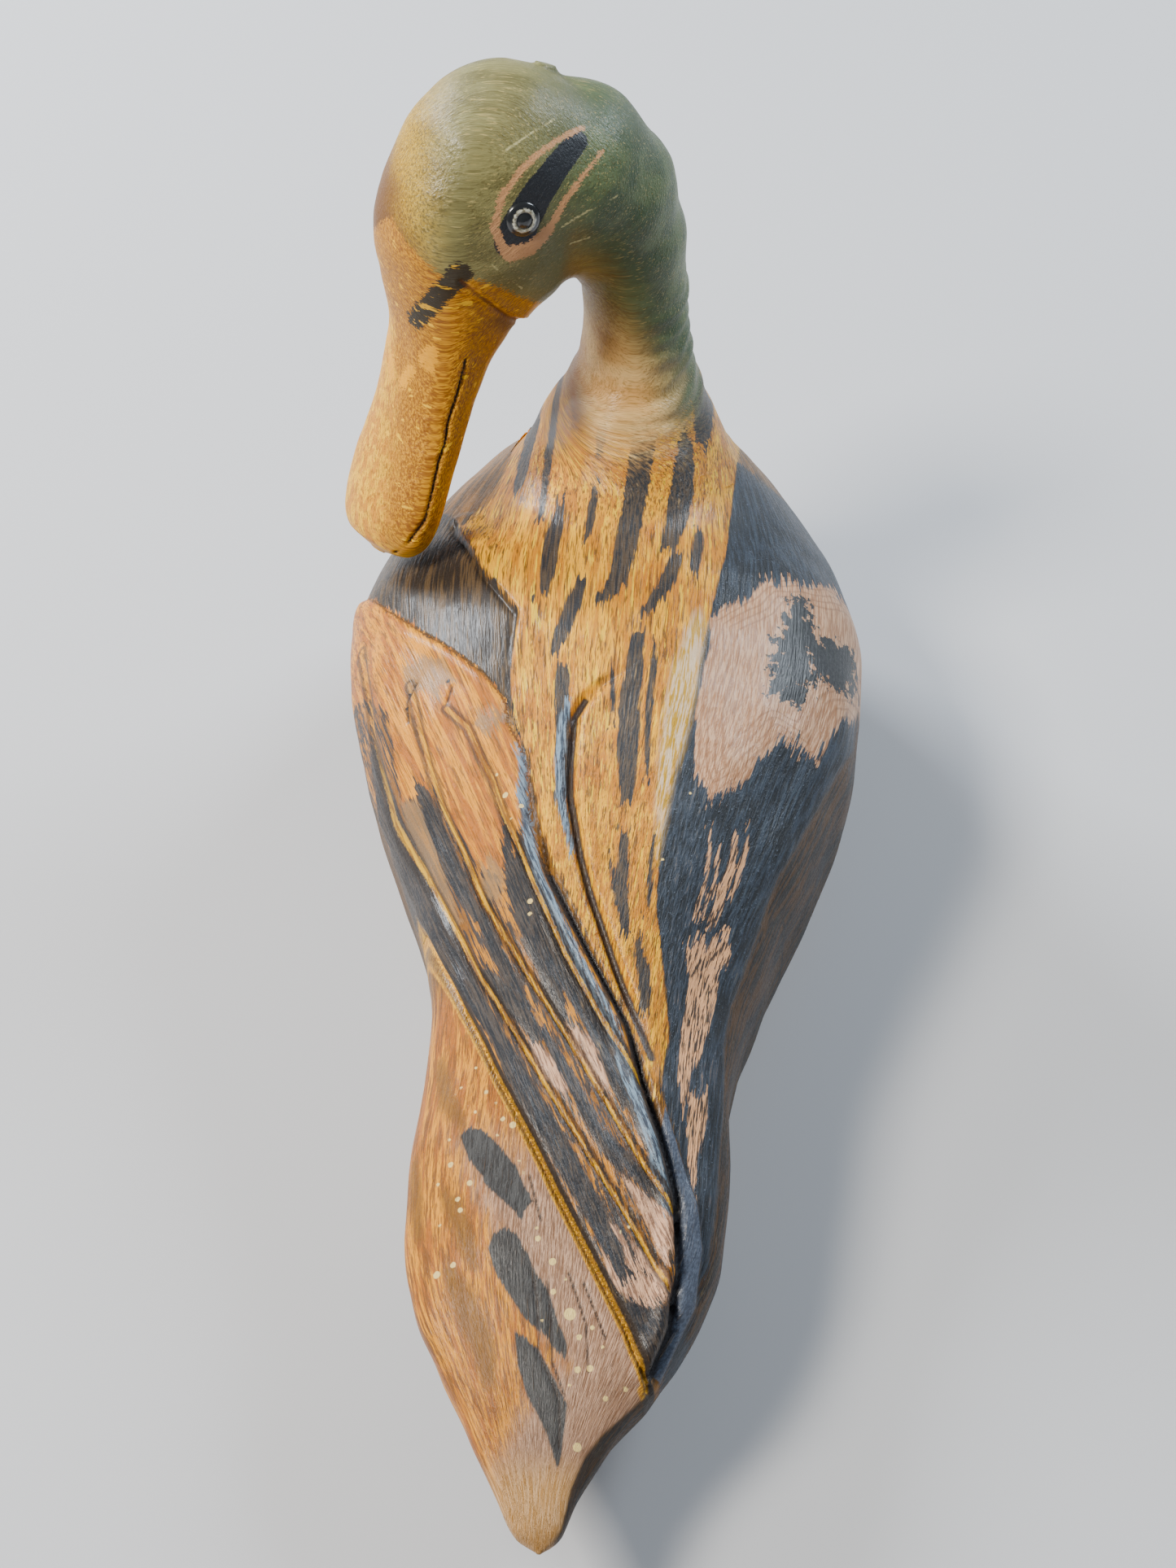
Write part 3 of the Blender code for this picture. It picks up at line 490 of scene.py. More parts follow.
def carve_body(x, y, z):
    """How far the knife left the skin above the plain shape, along its normal, in mm."""

    def beside(line):
        return near_only(side_distance, x, y, line)

    def swell(d, middle, width):
        return np.exp(-(((d - middle) / width) ** 2))

    upper = ramp(z - look_up(BODY_TABLE, y)[2], -1.5, 5.0)
    wing = near_only(polygon_distance, x, y, WING)
    out = 1.1 * ramp(-wing, -0.5, 0.9)
    out += 0.45 * swell(wing, -1.7, 1.3) * (wing < 1.0)
    out += groove(near_only(line_distance, x, y, WING_LOW), 1.0, 0.8)
    for line, depth in zip(GROOVES, (1.1, 1.1, 1.0)):
        d = beside(line)
        ends = ramp(y, line[0][1] - 1, line[0][1] + 12)
        deeper = 0.55 + 0.45 * ramp(y, -10, 12)
        out += ends * deeper * groove(np.abs(d), depth, 0.85)
        out += ends * (0.50 * swell(d, -2.6, 1.7) - 0.30 * swell(d, 1.6, 1.2))
    edge = beside(WING_EDGE)
    out += ramp(y, -14, 10) * (groove(np.abs(edge), 1.6, 1.3) + 0.65 * swell(edge, 2.3, 1.1))
    crescent = beside(CRESCENT)
    ends = ramp(y, -36, -24) * (1 - ramp(y, 28, 43))
    out += ends * groove(np.abs(crescent), 1.8, 1.35, 0.8)
    out += ends * (0.5 * swell(crescent, -2.6, 1.6) * ramp(-crescent, -1, 1))
    vee = beside(VEE + SHOULDER_EDGE)
    raised = 0.9 * ramp(-vee, -0.8, 0.8) * (1 - ramp(-vee, 2.5, 6.0))
    out += (1 - ramp(y, -44, -30)) * (raised + groove(np.abs(vee - 0.6), 0.5, 1.1))
    sunk = 0.7 * ramp(-beside(STRIP_EDGE), -0.4, 0.4) * (x < 0)
    out -= ramp(y, 46, 58) * sunk * (1 - ramp(y, 88, 97))
    flank = beside(FLANK_EDGE)
    raised = 0.7 * ramp(flank, -0.6, 0.6) * (1 - ramp(flank, 2.0, 6.0))
    out += raised * ramp(y, -50, -30) * (1 - ramp(y, 60, 80))
    for line in CRACKS:
        out += groove(near_only(line_distance, x, y, line), 0.5, 0.35)
    out = out * upper
    tail_side = beside(TAIL_EDGE_RIGHT)
    beyond = ramp(-tail_side, -0.6, 2.0) * (1 - ramp(np.abs(tail_side), 5.0, 6.0))
    out -= 0.9 * beyond * ramp(y, 96, 101) * (x < 6)
    out += (rough_noise(x, y, z, 0.085, 1) - 0.5) * 0.9 + (rough_noise(x, y, z, 0.21, 5) - 0.5) * 0.35
    return out


LATTICE_SIDE = 32
LATTICE = np.random.default_rng(7).random((LATTICE_SIDE,) * 3).astype(np.float32)


def rough_noise(x, y, z, scale, seed):
    """Smooth noise from 0 to 1."""
    p = np.stack([x * scale + 3.1 * seed, y * scale * 0.7 + 7.7 * seed, z * scale + 5.3 * seed])
    base = np.floor(p).astype(int)
    t = p - base
    t = t * t * (3 - 2 * t)
    total = np.zeros(x.shape)
    for corner in range(8):
        bits = (corner & 1, corner >> 1 & 1, corner >> 2 & 1)
        share = np.ones(x.shape)
        for axis in range(3):
            share = share * (t[axis] if bits[axis] else 1 - t[axis])
        spot = [(base[axis] + bits[axis]) % LATTICE_SIDE for axis in range(3)]
        total += share * LATTICE[spot[0], spot[1], spot[2]]
    return total


# ---------------------------------------------------------------- head drawing, head axes mm
# Points are along the bill, out of the cheek, towards the crown. Both cheeks carry the same marks.
EYE_SPOT = (-0.4, 18.8, 5.7)
LASH_UPPER = [
    (6.3, 16.8, 5.4), (2.9, 16.1, 9.6), (-2.9, 16.5, 11.1), (-8.5, 17.3, 10), (-12.6, 17.7, 8.1),
    (-17.2, 18, 4.8), (-21.2, 16.7, -0.4),
]
LASH_LOWER = [
    (6.1, 17.4, 4), (3.9, 18.4, 1.2), (-0.7, 20.2, -0.2), (-6.8, 21.6, 0.3), (-11.5, 21.8, -0.7),
    (-18.6, 20.6, -3.8),
]
EYE_STRIPE = [(3.4, 17.6, 5), (-0.4, 18.8, 5.7), (-5.9, 19.9, 5.7), (-12, 20, 4.1), (-18.6, 18.3, 0.8)]
LORE = [(13.1, 12.6, 9.7), (18.5, 9.5, 9.3), (25.1, 4.3, 7.7)]
GAPE = [(14.4, 12.6, 8.6), (16.2, 13.9, 1.2), (17.4, 12.6, -5), (17.9, 11.1, -10.3), (18.2, 7, -15.5)]
MOUTH = [
    (28, 11.2, -1.9), (31.5, 11, -3.1), (36, 10.8, -3.9), (40, 11, -4.3), (43.8, 11.4, -5.3),
    (49, 12, -5.8), (53.6, 12.5, -6.7), (59.8, 12.4, -8.1), (65.1, 11.3, -7.9), (69, 8, -8.6),
]
SCRATCHES = [
    [(-10.3, 13.7, 12.5), (-14.6, 14, 9.1), (-19, 13.8, 4.9)],
    [(-2.3, 19.5, -2.5), (-6.9, 21, -5.5), (-11.7, 22.2, -9.8)],
    [(0.1, 19, -6.8), (-2.5, 20.2, -9.6)],
    [(9.5, 15.9, 5.8), (11, 15.8, -2.8)],
]
CHIPS = [
    [(31.2, 5.7, 3.2), (29, 7.2, 3.2), (32, 7.2, 2.3)],
    [(37.4, 1.9, 1.7), (34.5, 3.3, 2.6)],
]
BILL_EDGE = [(0, 9.5), (15, 12.2), (35, 14.4), (48, 14.7), (64, 13.2), (84, 12.7), (134, 12.8), (180, 12)]


def snap(line):
    """The same line, laid on the skin of the head."""
    spots = np.array([HEAD_CENTRE + FORWARD * f + CHEEK * l + CROWN * u for f, l, u in line])
    for _ in range(5):
        spots = settle(spots, head_piece)
    return [tuple(spot) for spot in np.stack(head_local(*spots.T), axis=1)]


def line_distance_3d(p, line, half=0.0, taper=0.0):
    best = np.full(len(p), 1e3)
    count = len(line) - 1
    for i, (a, b) in enumerate(zip(line[:-1], line[1:])):
        a, b = np.array(a), np.array(b)
        t = np.clip((p - a) @ (b - a) / np.dot(b - a, b - a), 0, 1)
        d = np.linalg.norm(p - a - t[:, None] * (b - a), axis=1)
        share = (i + t) / count
        best = np.minimum(best, d - half * (1 - taper * share))
    return best


def head_points(x, y, z):
    f, l, u = head_local(x, y, z)
    return np.stack([f, np.abs(l), u], axis=1)


def carve_head(x, y, z):
    p = head_points(x, y, z)
    gape_line, mouth_line = snap(GAPE), snap(MOUTH)
    out = (rough_noise(x, y, z, 0.11, 2) - 0.5) * 0.7 + (rough_noise(x, y, z, 0.3, 3) - 0.5) * 0.22
    gape = line_distance_3d(p, gape_line)
    out += groove(gape, 0.7, 0.9)
    out += 0.45 * np.exp(-(gape / 2.2) ** 2) * (p[:, 0] < 17.0)
    out -= 0.5 * np.exp(-(gape / 3.5) ** 2) * (p[:, 0] > 16.5)
    wobble = 0.5 * (rough_noise(x, y, z, 0.5, 9) - 0.5)
    out += groove(np.abs(line_distance_3d(p, mouth_line) + wobble), 0.8, 0.42)
    ripple = ramp(-x, 1.0, 9.0) * ramp(z, 68, 76) * (1 - ramp(z, 96, 104))
    out += 0.28 * ripple * np.sin(z * 1.55 + 2.5 * rough_noise(x, y, z, 0.2, 4))
    return out


# ---------------------------------------------------------------- meshes
SLAB = 24  # grid rows worked out at a time


def surface_net(field, low, high, step):
    """Points and quads of the zero surface of a field, in mm."""
    axes = [np.arange(a, b, step) for a, b in zip(low, high)]
    values = np.empty([len(a) for a in axes], np.float32)
    for j in range(0, len(axes[1]), SLAB):
        y = axes[1][None, j : j + SLAB, None]
        values[:, j : j + SLAB] = field(axes[0][:, None, None], y, axes[2][None, None])
    inside = values < 0
    sizes = [n - 1 for n in inside.shape]
    total = np.zeros(sizes, np.int8)
    for corner in range(8):
        o = (corner & 1, corner >> 1 & 1, corner >> 2 & 1)
        total += inside[o[0] : o[0] + sizes[0], o[1] : o[1] + sizes[1], o[2] : o[2] + sizes[2]]
    active = (total > 0) & (total < 8)
    cells = np.argwhere(active)
    index = np.full(active.shape, -1, np.int32)
    index[active] = np.arange(len(cells))
    added, number = np.zeros(cells.shape), np.zeros(len(cells))
    for axis in range(3):
        others = [k for k in range(3) if k != axis]
        for corner in range(4):
            start = cells.copy()
            start[:, others[0]] += corner & 1
            start[:, others[1]] += corner >> 1
            end = start.copy()
            end[:, axis] += 1
            a, b = values[tuple(start.T)], values[tuple(end.T)]
            cross = (a < 0) != (b < 0)
            point = start[cross].astype(float)
            point[:, axis] += a[cross] / (a[cross] - b[cross])
            added[cross] += point
            number[cross] += 1
    points = np.array(low) + step * added / number[:, None]
    quads = []
    for axis in range(3):
        one, two = (axis + 1) % 3, (axis + 2) % 3
        lo, hi = [1, 1, 1], list(sizes)
        lo[axis] = 0
        span = tuple(slice(a, b) for a, b in zip(lo, hi))
        after = list(span)
        after[axis] = slice(lo[axis] + 1, hi[axis] + 1)
        here, there = inside[span], inside[tuple(after)]
        edges = np.argwhere(here != there) + lo
        flip = there[tuple((edges - lo).T)]
        ring = []
        for back_one, back_two in ((1, 1), (0, 1), (0, 0), (1, 0)):
            cell = edges.copy()
            cell[:, one] -= back_one
            cell[:, two] -= back_two
            ring.append(index[tuple(cell.T)])
        ring = np.stack(ring, axis=1)
        ring[flip] = ring[flip][:, ::-1]
        quads.append(ring)
    return points, np.concatenate(quads)


def slopes(field, p, reach):
    x, y, z = p.T
    gx = field(x + reach, y, z) - field(x - reach, y, z)
    gy = field(x, y + reach, z) - field(x, y - reach, z)
    gz = field(x, y, z + reach) - field(x, y, z - reach)
    return np.stack([gx, gy, gz], axis=1) / (2 * reach)


def settle(points, field):
    for _ in range(3):
        slope = slopes(field, points, 0.15)
        value = field(*points.T)
        move = value / np.maximum((slope**2).sum(axis=1), 0.05)
        points = points - slope * np.clip(move, -0.4, 0.4)[:, None]
    return points


def link(name, data):
    obj = bpy.data.objects.new(name, data)
    bpy.context.scene.collection.objects.link(obj)
    return obj


def make_object(name, points, quads):
    """A smooth mesh object from points in mm."""
    mesh = bpy.data.meshes.new(name)
    mesh.vertices.add(len(points))
    mesh.vertices.foreach_set("co", (points * MM).astype(np.float32).ravel())
    mesh.loops.add(quads.size)
    mesh.loops.foreach_set("vertex_index", quads.astype(np.int32).ravel())
    mesh.polygons.add(len(quads))
    mesh.polygons.foreach_set("loop_start", np.arange(0, quads.size, 4, dtype=np.int32))
    mesh.update(calc_edges=True)
    mesh.shade_smooth()
    return link(name, mesh)


# ---------------------------------------------------------------- paint as distances to its edges
def flow_of(x, y, z):
    """Across, along and up: the way the grain and the brush ran."""
    left, right = look_up(BODY_TABLE, y)[:2]
    across = x / np.maximum(np.where(x > 0, left, right), 6.0) * 34.0
    on_wing = near_only(polygon_distance, x, y, WING) < 0
    cos, sin = math.cos(WING_LEAN), math.sin(WING_LEAN)
    across = np.where(on_wing, x * cos + y * sin, across)
    along = np.where(on_wing, y * cos - x * sin, y)
    return across, along, z


PLAN_PAINT = {
    "ochre": dict(outlines=[OCHRE]),
    "shoulder": dict(outlines=[SHOULDER]),
    "black": dict(outlines=[BLACK]),
    "wedge_and_sheen": dict(outlines=[WEDGE_AND_SHEEN]),
    "tan_patch": dict(outlines=[TAN_PATCH]),
    "smudge": dict(outlines=SMUDGE),
    "tan_marks": dict(strokes=TAN_STREAKS, outlines=TAN_FEATHERS),
    "streaks": dict(strokes=FRONT_STREAKS + BACK_STREAKS),
    "covert": dict(outlines=[COVERT]),
    "feather_dark": dict(strokes=FEATHER_DARK, outlines=[FEATHER_TIP]),
    "grey_marks": dict(strokes=GREY_BLOB + KNOT, outlines=[BROWN_PANEL, OVAL]),
    "rim_highlights": dict(strokes=RIM_HIGHLIGHTS),
    "pink_and_sheen": dict(outlines=PALE_ENDS_AND_SHEEN),
    "leaves": dict(outlines=LEAVES),
    "faded": dict(strokes=FADED_LEAVES),
}
LINE_PAINT = {
    "gold": [WING_LOW] + GROOVES,
    # The cut of the wing edge and the crescent: black paint, made darker as painted shade.
    "deep_cut_shade": [WING_EDGE[1:], CRESCENT[2:]],
    "cracks": CRACKS,
}


def ragged(x, y, distance_at):
    """The distance, and how ragged the edge is: much where the stroke ends, little along its side."""
    d = distance_at(x, y)
    on_wing = near_only(polygon_distance, x, y, WING) < 0
    lean = np.where(on_wing, WING_LEAN, 0.0)
    reach = 0.4
    ahead = distance_at(x - reach * np.sin(lean), y + reach * np.cos(lean))
    slope = np.clip(np.abs(ahead - d) / reach, 0, 1)
    return d, 0.7 + 6.5 * slope**2


def head_share(x, y, z, is_head):
    """0 on the body and the breast, 1 on the neck, the head and the bill."""
    share = ramp(z, *NECK_PAINT)
    if is_head:
        f, _, u = head_local(x, y, z)
        share = np.maximum(share, 1.0 * ((f > 8) & (u > HEAD_LOW) & (z > 58)))
    return share


def spot_distance(x, y, low, spots):
    """Distance to the nearest of some round spots, below zero inside."""
    d = np.full(x.shape, FAR)
    for cx, cy, radius in spots:
        near = low & (np.abs(x - cx) < 7) & (np.abs(y - cy) < 7)
        d[near] = np.minimum(d[near], np.hypot(x[near] - cx, y[near] - cy) - radius)
    return d


def paint_attributes(obj, points, is_head):
    x, y, z = points.T
    share = head_share(x, y, z, is_head)
    low = share < 1
    far, none = np.full(len(points), FAR), np.zeros(len(points))

    def save(name, one, two=none, three=none):
        layer = obj.data.attributes.new(name, "FLOAT_VECTOR", "POINT")
        rows = np.stack([one, two, three], axis=1)
        layer.data.foreach_set("vector", rows.astype(np.float32).ravel())

    across, along, up = flow_of(x, y, z)
    if is_head:
        f, l, u = head_local(x, y, z)
        across = across * (1 - share) + (l + u) * share
        along = along * (1 - share) + f * share
    save("flow", across, along, up)
    for name, shapes in PLAN_PAINT.items():
        d, rag = far.copy(), none.copy()
        d[low], rag[low] = ragged(x[low], y[low], lambda a, b: nearest(a, b, **shapes))
        save(name, d, rag)
    for name, lines in LINE_PAINT.items():
        d = far.copy()
        for line in lines:
            d[low] = np.minimum(d[low], near_only(line_distance, x[low], y[low], line))
        save(name, d)
    save("dots", spot_distance(x, y, low, DOTS), spot_distance(x, y, low, HOLES))
    wing, strip = far.copy(), far.copy()
    wing[low] = near_only(polygon_distance, x[low], y[low], WING)
    strip[low] = near_only(polygon_distance, x[low], y[low], STRIP_EDGE + WING_EDGE[::-1][:5])
    tail = np.clip(-side_distance(x, y, WING_LOW + TAIL_EDGE_RIGHT), -60, 60)
    save("wing", wing, strip, np.where(low, tail, far))
    flank = np.clip(side_distance(x, y, FLANK_EDGE + TAIL_EDGE_RIGHT[1:]), -30, 30)
    flank = np.where(low & (x < 0), flank, far)
    side = np.where(low, z - look_up(BODY_TABLE, y)[2], 20.0)
    save("sides", flank, side, share)
    head = dict.fromkeys(("lash", "eye_stripe", "bill", "lore", "mouth", "gape", "scratches", "chips"), far)
    if is_head:
        p = head_points(x, y, z)

        def drawn(line, *shape):
            return line_distance_3d(p, snap(line), *shape)

        lower = np.minimum(drawn(LASH_LOWER, 1.15, 0.7), drawn(LASH_LOWER[:3], 1.75, 0.35))
        head["lash"] = np.minimum(drawn(LASH_UPPER, 0.85, 0.45), lower)
        head["eye_stripe"] = drawn(EYE_STRIPE, 4.0, 0.5)
        angle = np.degrees(np.arctan2(p[:, 1], p[:, 2] - 1.0))
        edge = np.interp(angle, *zip(*BILL_EDGE))
        head["bill"] = np.where((z > 60) & (p[:, 0] > 0) & (p[:, 2] > HEAD_LOW), edge - p[:, 0], FAR)
        head["lore"] = np.where(l > 0, drawn(LORE, 2.3, 0.15), FAR)
        head["mouth"], head["gape"] = drawn(MOUTH), drawn(GAPE)
        for name, lines in (("scratches", SCRATCHES), ("chips", CHIPS)):
            head[name] = np.min([drawn(line) for line in lines], axis=0)
    for name, d in head.items():
        save(name, np.clip(d, -30, 30))


# ---------------------------------------------------------------- materials
RICHNESS = 1.3
EARTH = (1.07, 0.7)  # ochres and oranges lean to yellow


def srgb(r, g, b):
    """The colour as Blender wants it, a little richer than written."""
    rgb = [c / 255 for c in (r, g, b)]
    rgb = [c / 12.92 if c < 0.04045 else ((c + 0.055) / 1.055) ** 2.4 for c in rgb]
    if r > 1.8 * b:
        rgb[1] *= EARTH[0]
        rgb[2] *= EARTH[1]
    grey = 0.21 * rgb[0] + 0.72 * rgb[1] + 0.07 * rgb[2]
    return (*[max(0.003, grey + (c - grey) * RICHNESS) for c in rgb], 1.0)


class Paint:
    """Builds one node material."""

    def __init__(self, name, **settings):
        self.material = bpy.data.materials.new(name)
        self.material.use_nodes = True
        self.tree = self.material.node_tree
        self.shader = self.tree.nodes["Principled BSDF"]
        for key, value in settings.items():
            self.set(key.replace("_", " "), value)

    def set(self, name, value):
        """Sets or links one input of the shader."""
        self.put(self.shader.inputs[name], value)

    def node(self, kind, **settings):
        made = self.tree.nodes.new(kind)
        for key, value in settings.items():
            setattr(made, key, value)
        return made

    def put(self, socket, value):
        if isinstance(value, bpy.types.NodeSocket):
            self.tree.links.new(value, socket)
        else:
            socket.default_value = value

    def feed(self, made, values, output=0):
        """Fills the first inputs of a node in order."""
        for socket, value in zip(made.inputs, values):
            self.put(socket, value)
        return made.outputs[output]

    def times(self, a, b, plus=None):
        if plus is None:
            return self.feed(self.node("ShaderNodeMath", operation="MULTIPLY"), (a, b))
        return self.feed(self.node("ShaderNodeMath", operation="MULTIPLY_ADD"), (a, b, plus))

    def calc(self, operation, a, b=0.0):
        return self.feed(self.node("ShaderNodeMath", operation=operation), (a, b))

    def attribute(self, name):
        return self.node("ShaderNodeAttribute", attribute_name=name).outputs["Vector"]

    def distance(self, name):
        return self.parts(self.attribute(name))[0]

    def place(self):
        return self.node("ShaderNodeTexCoord").outputs["Object"]

    def parts(self, vector):
        made = self.node("ShaderNodeSeparateXYZ")
        self.put(made.inputs[0], vector)
        return list(made.outputs)

    def noise(self, vector, scale, shift=(0, 0, 0), detail=2.0, rough=0.55, distortion=0.0):
        moved = self.node("ShaderNodeVectorMath", operation="MULTIPLY_ADD")
        made = self.node("ShaderNodeTexNoise")
        self.put(made.inputs["Vector"], self.feed(moved, (vector, scale, shift)))
        made.inputs["Scale"].default_value = 1.0
        made.inputs["Detail"].default_value = detail
        made.inputs["Roughness"].default_value = rough
        made.inputs["Distortion"].default_value = distortion
        return made.outputs[0]

    def ramp(self, value, low, high, to_low=0.0, to_high=1.0):
        made = self.node("ShaderNodeMapRange", interpolation_type="SMOOTHSTEP")
        return self.feed(made, (value, low, high, to_low, to_high))

    def within(self, distance, soft, most=1.0):
        """Most where the distance is below zero, 0 where it's above."""
        return self.ramp(distance, -soft, soft, most, 0.0)

    def mix(self, factor, a, b):
        made = self.node("ShaderNodeMix", data_type="RGBA")
        for index, value in ((0, factor), (6, a), (7, b)):
            self.put(made.inputs[index], value)
        return made.outputs[2]

    def over(self, colour, *layers):
        """The colour with layers of (how much, which colour) laid over it in order."""
        for share, layer in layers:
            colour = self.mix(share, colour, layer)
        return colour

    def tone(self, noise, a, b, low=0.42, high=0.58):
        """Between two colours, by a noise."""
        return self.mix(self.ramp(noise, low, high), srgb(*a), srgb(*b))

    def flecked(self, colour, *flecks):
        """The colour with flecks of others where a noise runs from low to high."""
        layers = [(self.ramp(noise, low, high, 0.0, most), srgb(*c)) for noise, low, high, most, c in flecks]
        return self.over(colour, *layers)

    def bump(self, height, distance, strength=1.0, normal=None):
        made = self.node("ShaderNodeBump")
        made.inputs["Strength"].default_value = strength
        made.inputs["Distance"].default_value = distance
        self.put(made.inputs["Height"], height)
        if normal is not None:
            self.put(made.inputs["Normal"], normal)
        return made.outputs[0]


def painted_wood(name):
    p = Paint(name, Coat_Weight=0.24, Coat_Roughness=0.2, Specular_IOR_Level=0.3)
    ramp, times, mix, over, tone, flecked = p.ramp, p.times, p.mix, p.over, p.tone, p.flecked
    flow = p.attribute("flow")
    across, along, _ = p.parts(flow)
    px, py, pz = p.parts(p.place())
    streak = p.noise(flow, (2.3, 0.085, 0.9), (0, 0, 0), 3, 0.62)
    streak_two = p.noise(flow, (3.4, 0.12, 1.2), (40, 7, 3), 2, 0.62)
    fine = p.noise(flow, (5, 0.2, 2.2), (5, 50, 9), 2, 0.6)
    grain = p.noise(flow, (0.85, 0.05, 0.45), (9, 3, 60), 2, 0.5, 0.6)
    blotch = p.noise(flow, (0.11, 0.06, 0.11), (70, 1, 2), 3, 0.6)
    speck = p.noise(flow, (2.2, 1.6, 2.2), (3, 90, 4), 2, 0.7)
    dabs = p.noise(flow, (0.75, 0.42, 0.6), (1, 2, 3), 3, 0.7)
    scratch = p.noise(flow, (3.2, 0.16, 3.2), (8, 8, 8), 2, 0.6)
    flakes = p.noise(flow, (0.6, 0.3, 0.6), (11, 4, 2), 2, 0.55)
    by_streak, by_streak_two, by_speck, by_blotch, by_dabs = [
        p.calc("SUBTRACT", noise, 0.5) for noise in (streak, streak_two, speck, blotch, dabs)
    ]

    def inside(name, soft=0.14, amount=2.4, noise=by_streak):
        """1 in the painted shapes of that name, with an edge that a noise makes ragged."""
        distance, rag, _ = p.parts(p.attribute(name))
        return p.within(times(times(noise, amount), rag, distance), soft)

    wing, strip, tail = p.parts(p.attribute("wing"))
    flank, side, upper = p.parts(p.attribute("sides"))
    wood = flecked(tone(grain, (128, 88, 52), (92, 62, 38)), (streak, 0.5, 0.6, 1, (62, 44, 30)))
    ochre = flecked(
        tone(grain, (224, 164, 40), (184, 124, 28)),
        (blotch, 0.50, 0.62, 0.7, (176, 112, 34)),
        (fine, 0.52, 0.64, 0.8, (118, 76, 24)),
        (streak_two, 0.56, 0.61, 0.8, (76, 52, 26)),
        (streak, 0.43, 0.37, 0.7, (240, 196, 90)),
    )
    black = tone(streak, (30, 33, 37), (56, 64, 75), 0.4, 0.66)
    black = flecked(black, (speck, 0.6, 0.75, 1, (92, 100, 112)))
    # tan patch of the right wing, with the smudge in it
    rings = p.calc("SINE", times(blotch, 14, times(p.distance("tan_patch"), 4.6)))
    patch = flecked(tone(fine, (200, 166, 140), (160, 122, 96)), (rings, 0.3, 0.95, 0.5, (132, 96, 74)))
    smudge = times(by_speck, 2, times(by_dabs, 13, p.distance("smudge")))
    # Brown paint of the right flank, made darker as painted shade on the side turned away from the light.
    flank_brown_and_shade = tone(streak, (72, 48, 30), (22, 19, 18), 0.44, 0.54)
    colour = over(
        wood,
        (inside("ochre", 0.3), ochre),
        (inside("black"), black),
        (inside("shoulder"), tone(streak, (40, 34, 29), (82, 67, 50), 0.46, 0.60)),
        # The pale strip is partly paint and partly a painted sheen.
        (inside("wedge_and_sheen", 1.3, 2), tone(streak_two, (206, 186, 160), (176, 138, 88), 0.44, 0.56)),
        (inside("tan_patch"), patch),
        (p.within(smudge, 0.3), srgb(44, 46, 48)),
        (inside("tan_marks", 0.12), tone(streak_two, (204, 162, 130), (62, 52, 46), 0.49, 0.57)),
        (p.within(times(by_streak_two, 2.5, flank), 0.3), flank_brown_and_shade),
        (inside("streaks", 0.2, 3), tone(streak_two, (40, 40, 42), (74, 64, 54))),
    )
    # tail: tan, greyer along the wing and paler at the tip
    tan = flecked(
        tone(grain, (210, 144, 60), (160, 98, 34)),
        (streak, 0.49, 0.58, 0.9, (112, 70, 32)),
        (fine, 0.54, 0.66, 0.7, (104, 68, 36)),
    )
    grey_tan = tone(streak_two, (182, 150, 128), (128, 98, 78))
    grey_tan = flecked(grey_tan, (fine, 0.54, 0.64, 0.7, (100, 80, 68)))
    beside = times(by_streak, 5, tail)
    tan = over(
        tan,
        (times(ramp(beside, -15, -9), ramp(along, 50, 68)), grey_tan),
        (ramp(along, 106, 114, 0, 0.75), tone(streak, (222, 184, 142), (168, 120, 78))),
    )
    colour = mix(times(p.within(tail, 0.3), ramp(along, 20, 34)), colour, tan)
    colour = mix(inside("faded", 0.7), colour, mix(0.8, colour, srgb(108, 74, 42)))
    # left wing
    feather = flecked(tone(grain, (186, 126, 66), (128, 84, 44)), (streak, 0.47, 0.53, 1, (56, 48, 44)))
    orange = flecked(
        tone(grain, (214, 146, 62), (166, 102, 38)),
        (streak_two, 0.55, 0.61, 0.8, (104, 68, 40)),
        (fine, 0.54, 0.64, 0.6, (122, 78, 44)),
    )
    dark_feather = tone(streak_two, (30, 30, 33), (66, 58, 52), 0.46, 0.6)
    # This blue-grey is a painted highlight: glossy light along the raised edges of the cuts.
    rim_highlight = tone(streak_two, (120, 136, 150), (48, 56, 68), 0.44, 0.56)
    colour = over(
        colour,
        (inside("leaves", 0.2, 0.5), tone(streak, (68, 67, 66), (42, 40, 39))),
        (p.within(wing, 0.15), feather),
        (inside("covert"), orange),
        (times(inside("grey_marks", 0.4), 0.75), srgb(132, 108, 82)),
        # Pale pinkish feather ends: partly paint, partly a painted sheen.
        (inside("pink_and_sheen", 0.3, 1.2), tone(streak_two, (202, 164, 138), (128, 98, 80), 0.46, 0.58)),
        (inside("feather_dark", 0.15, 3), dark_feather),
        (inside("rim_highlights", 0.3, 2, by_streak_two), rim_highlight),
        (p.within(strip, 0.15), tone(speck, (84, 92, 106), (66, 72, 84))),
    )
    # the plan paint stops raggedly a little below the widest line; the sides are stained wood, darker on the
    # duck's right as painted shade
    stained_sides_and_shade = mix(
        ramp(px, -0.030, -0.010),
        tone(streak, (70, 48, 32), (24, 21, 19), 0.43, 0.54),
        tone(streak, (98, 66, 40), (44, 32, 24), 0.43, 0.57),
    )
    colour = mix(ramp(times(by_streak, 9, side), -3.2, -4.4), colour, stained_sides_and_shade)
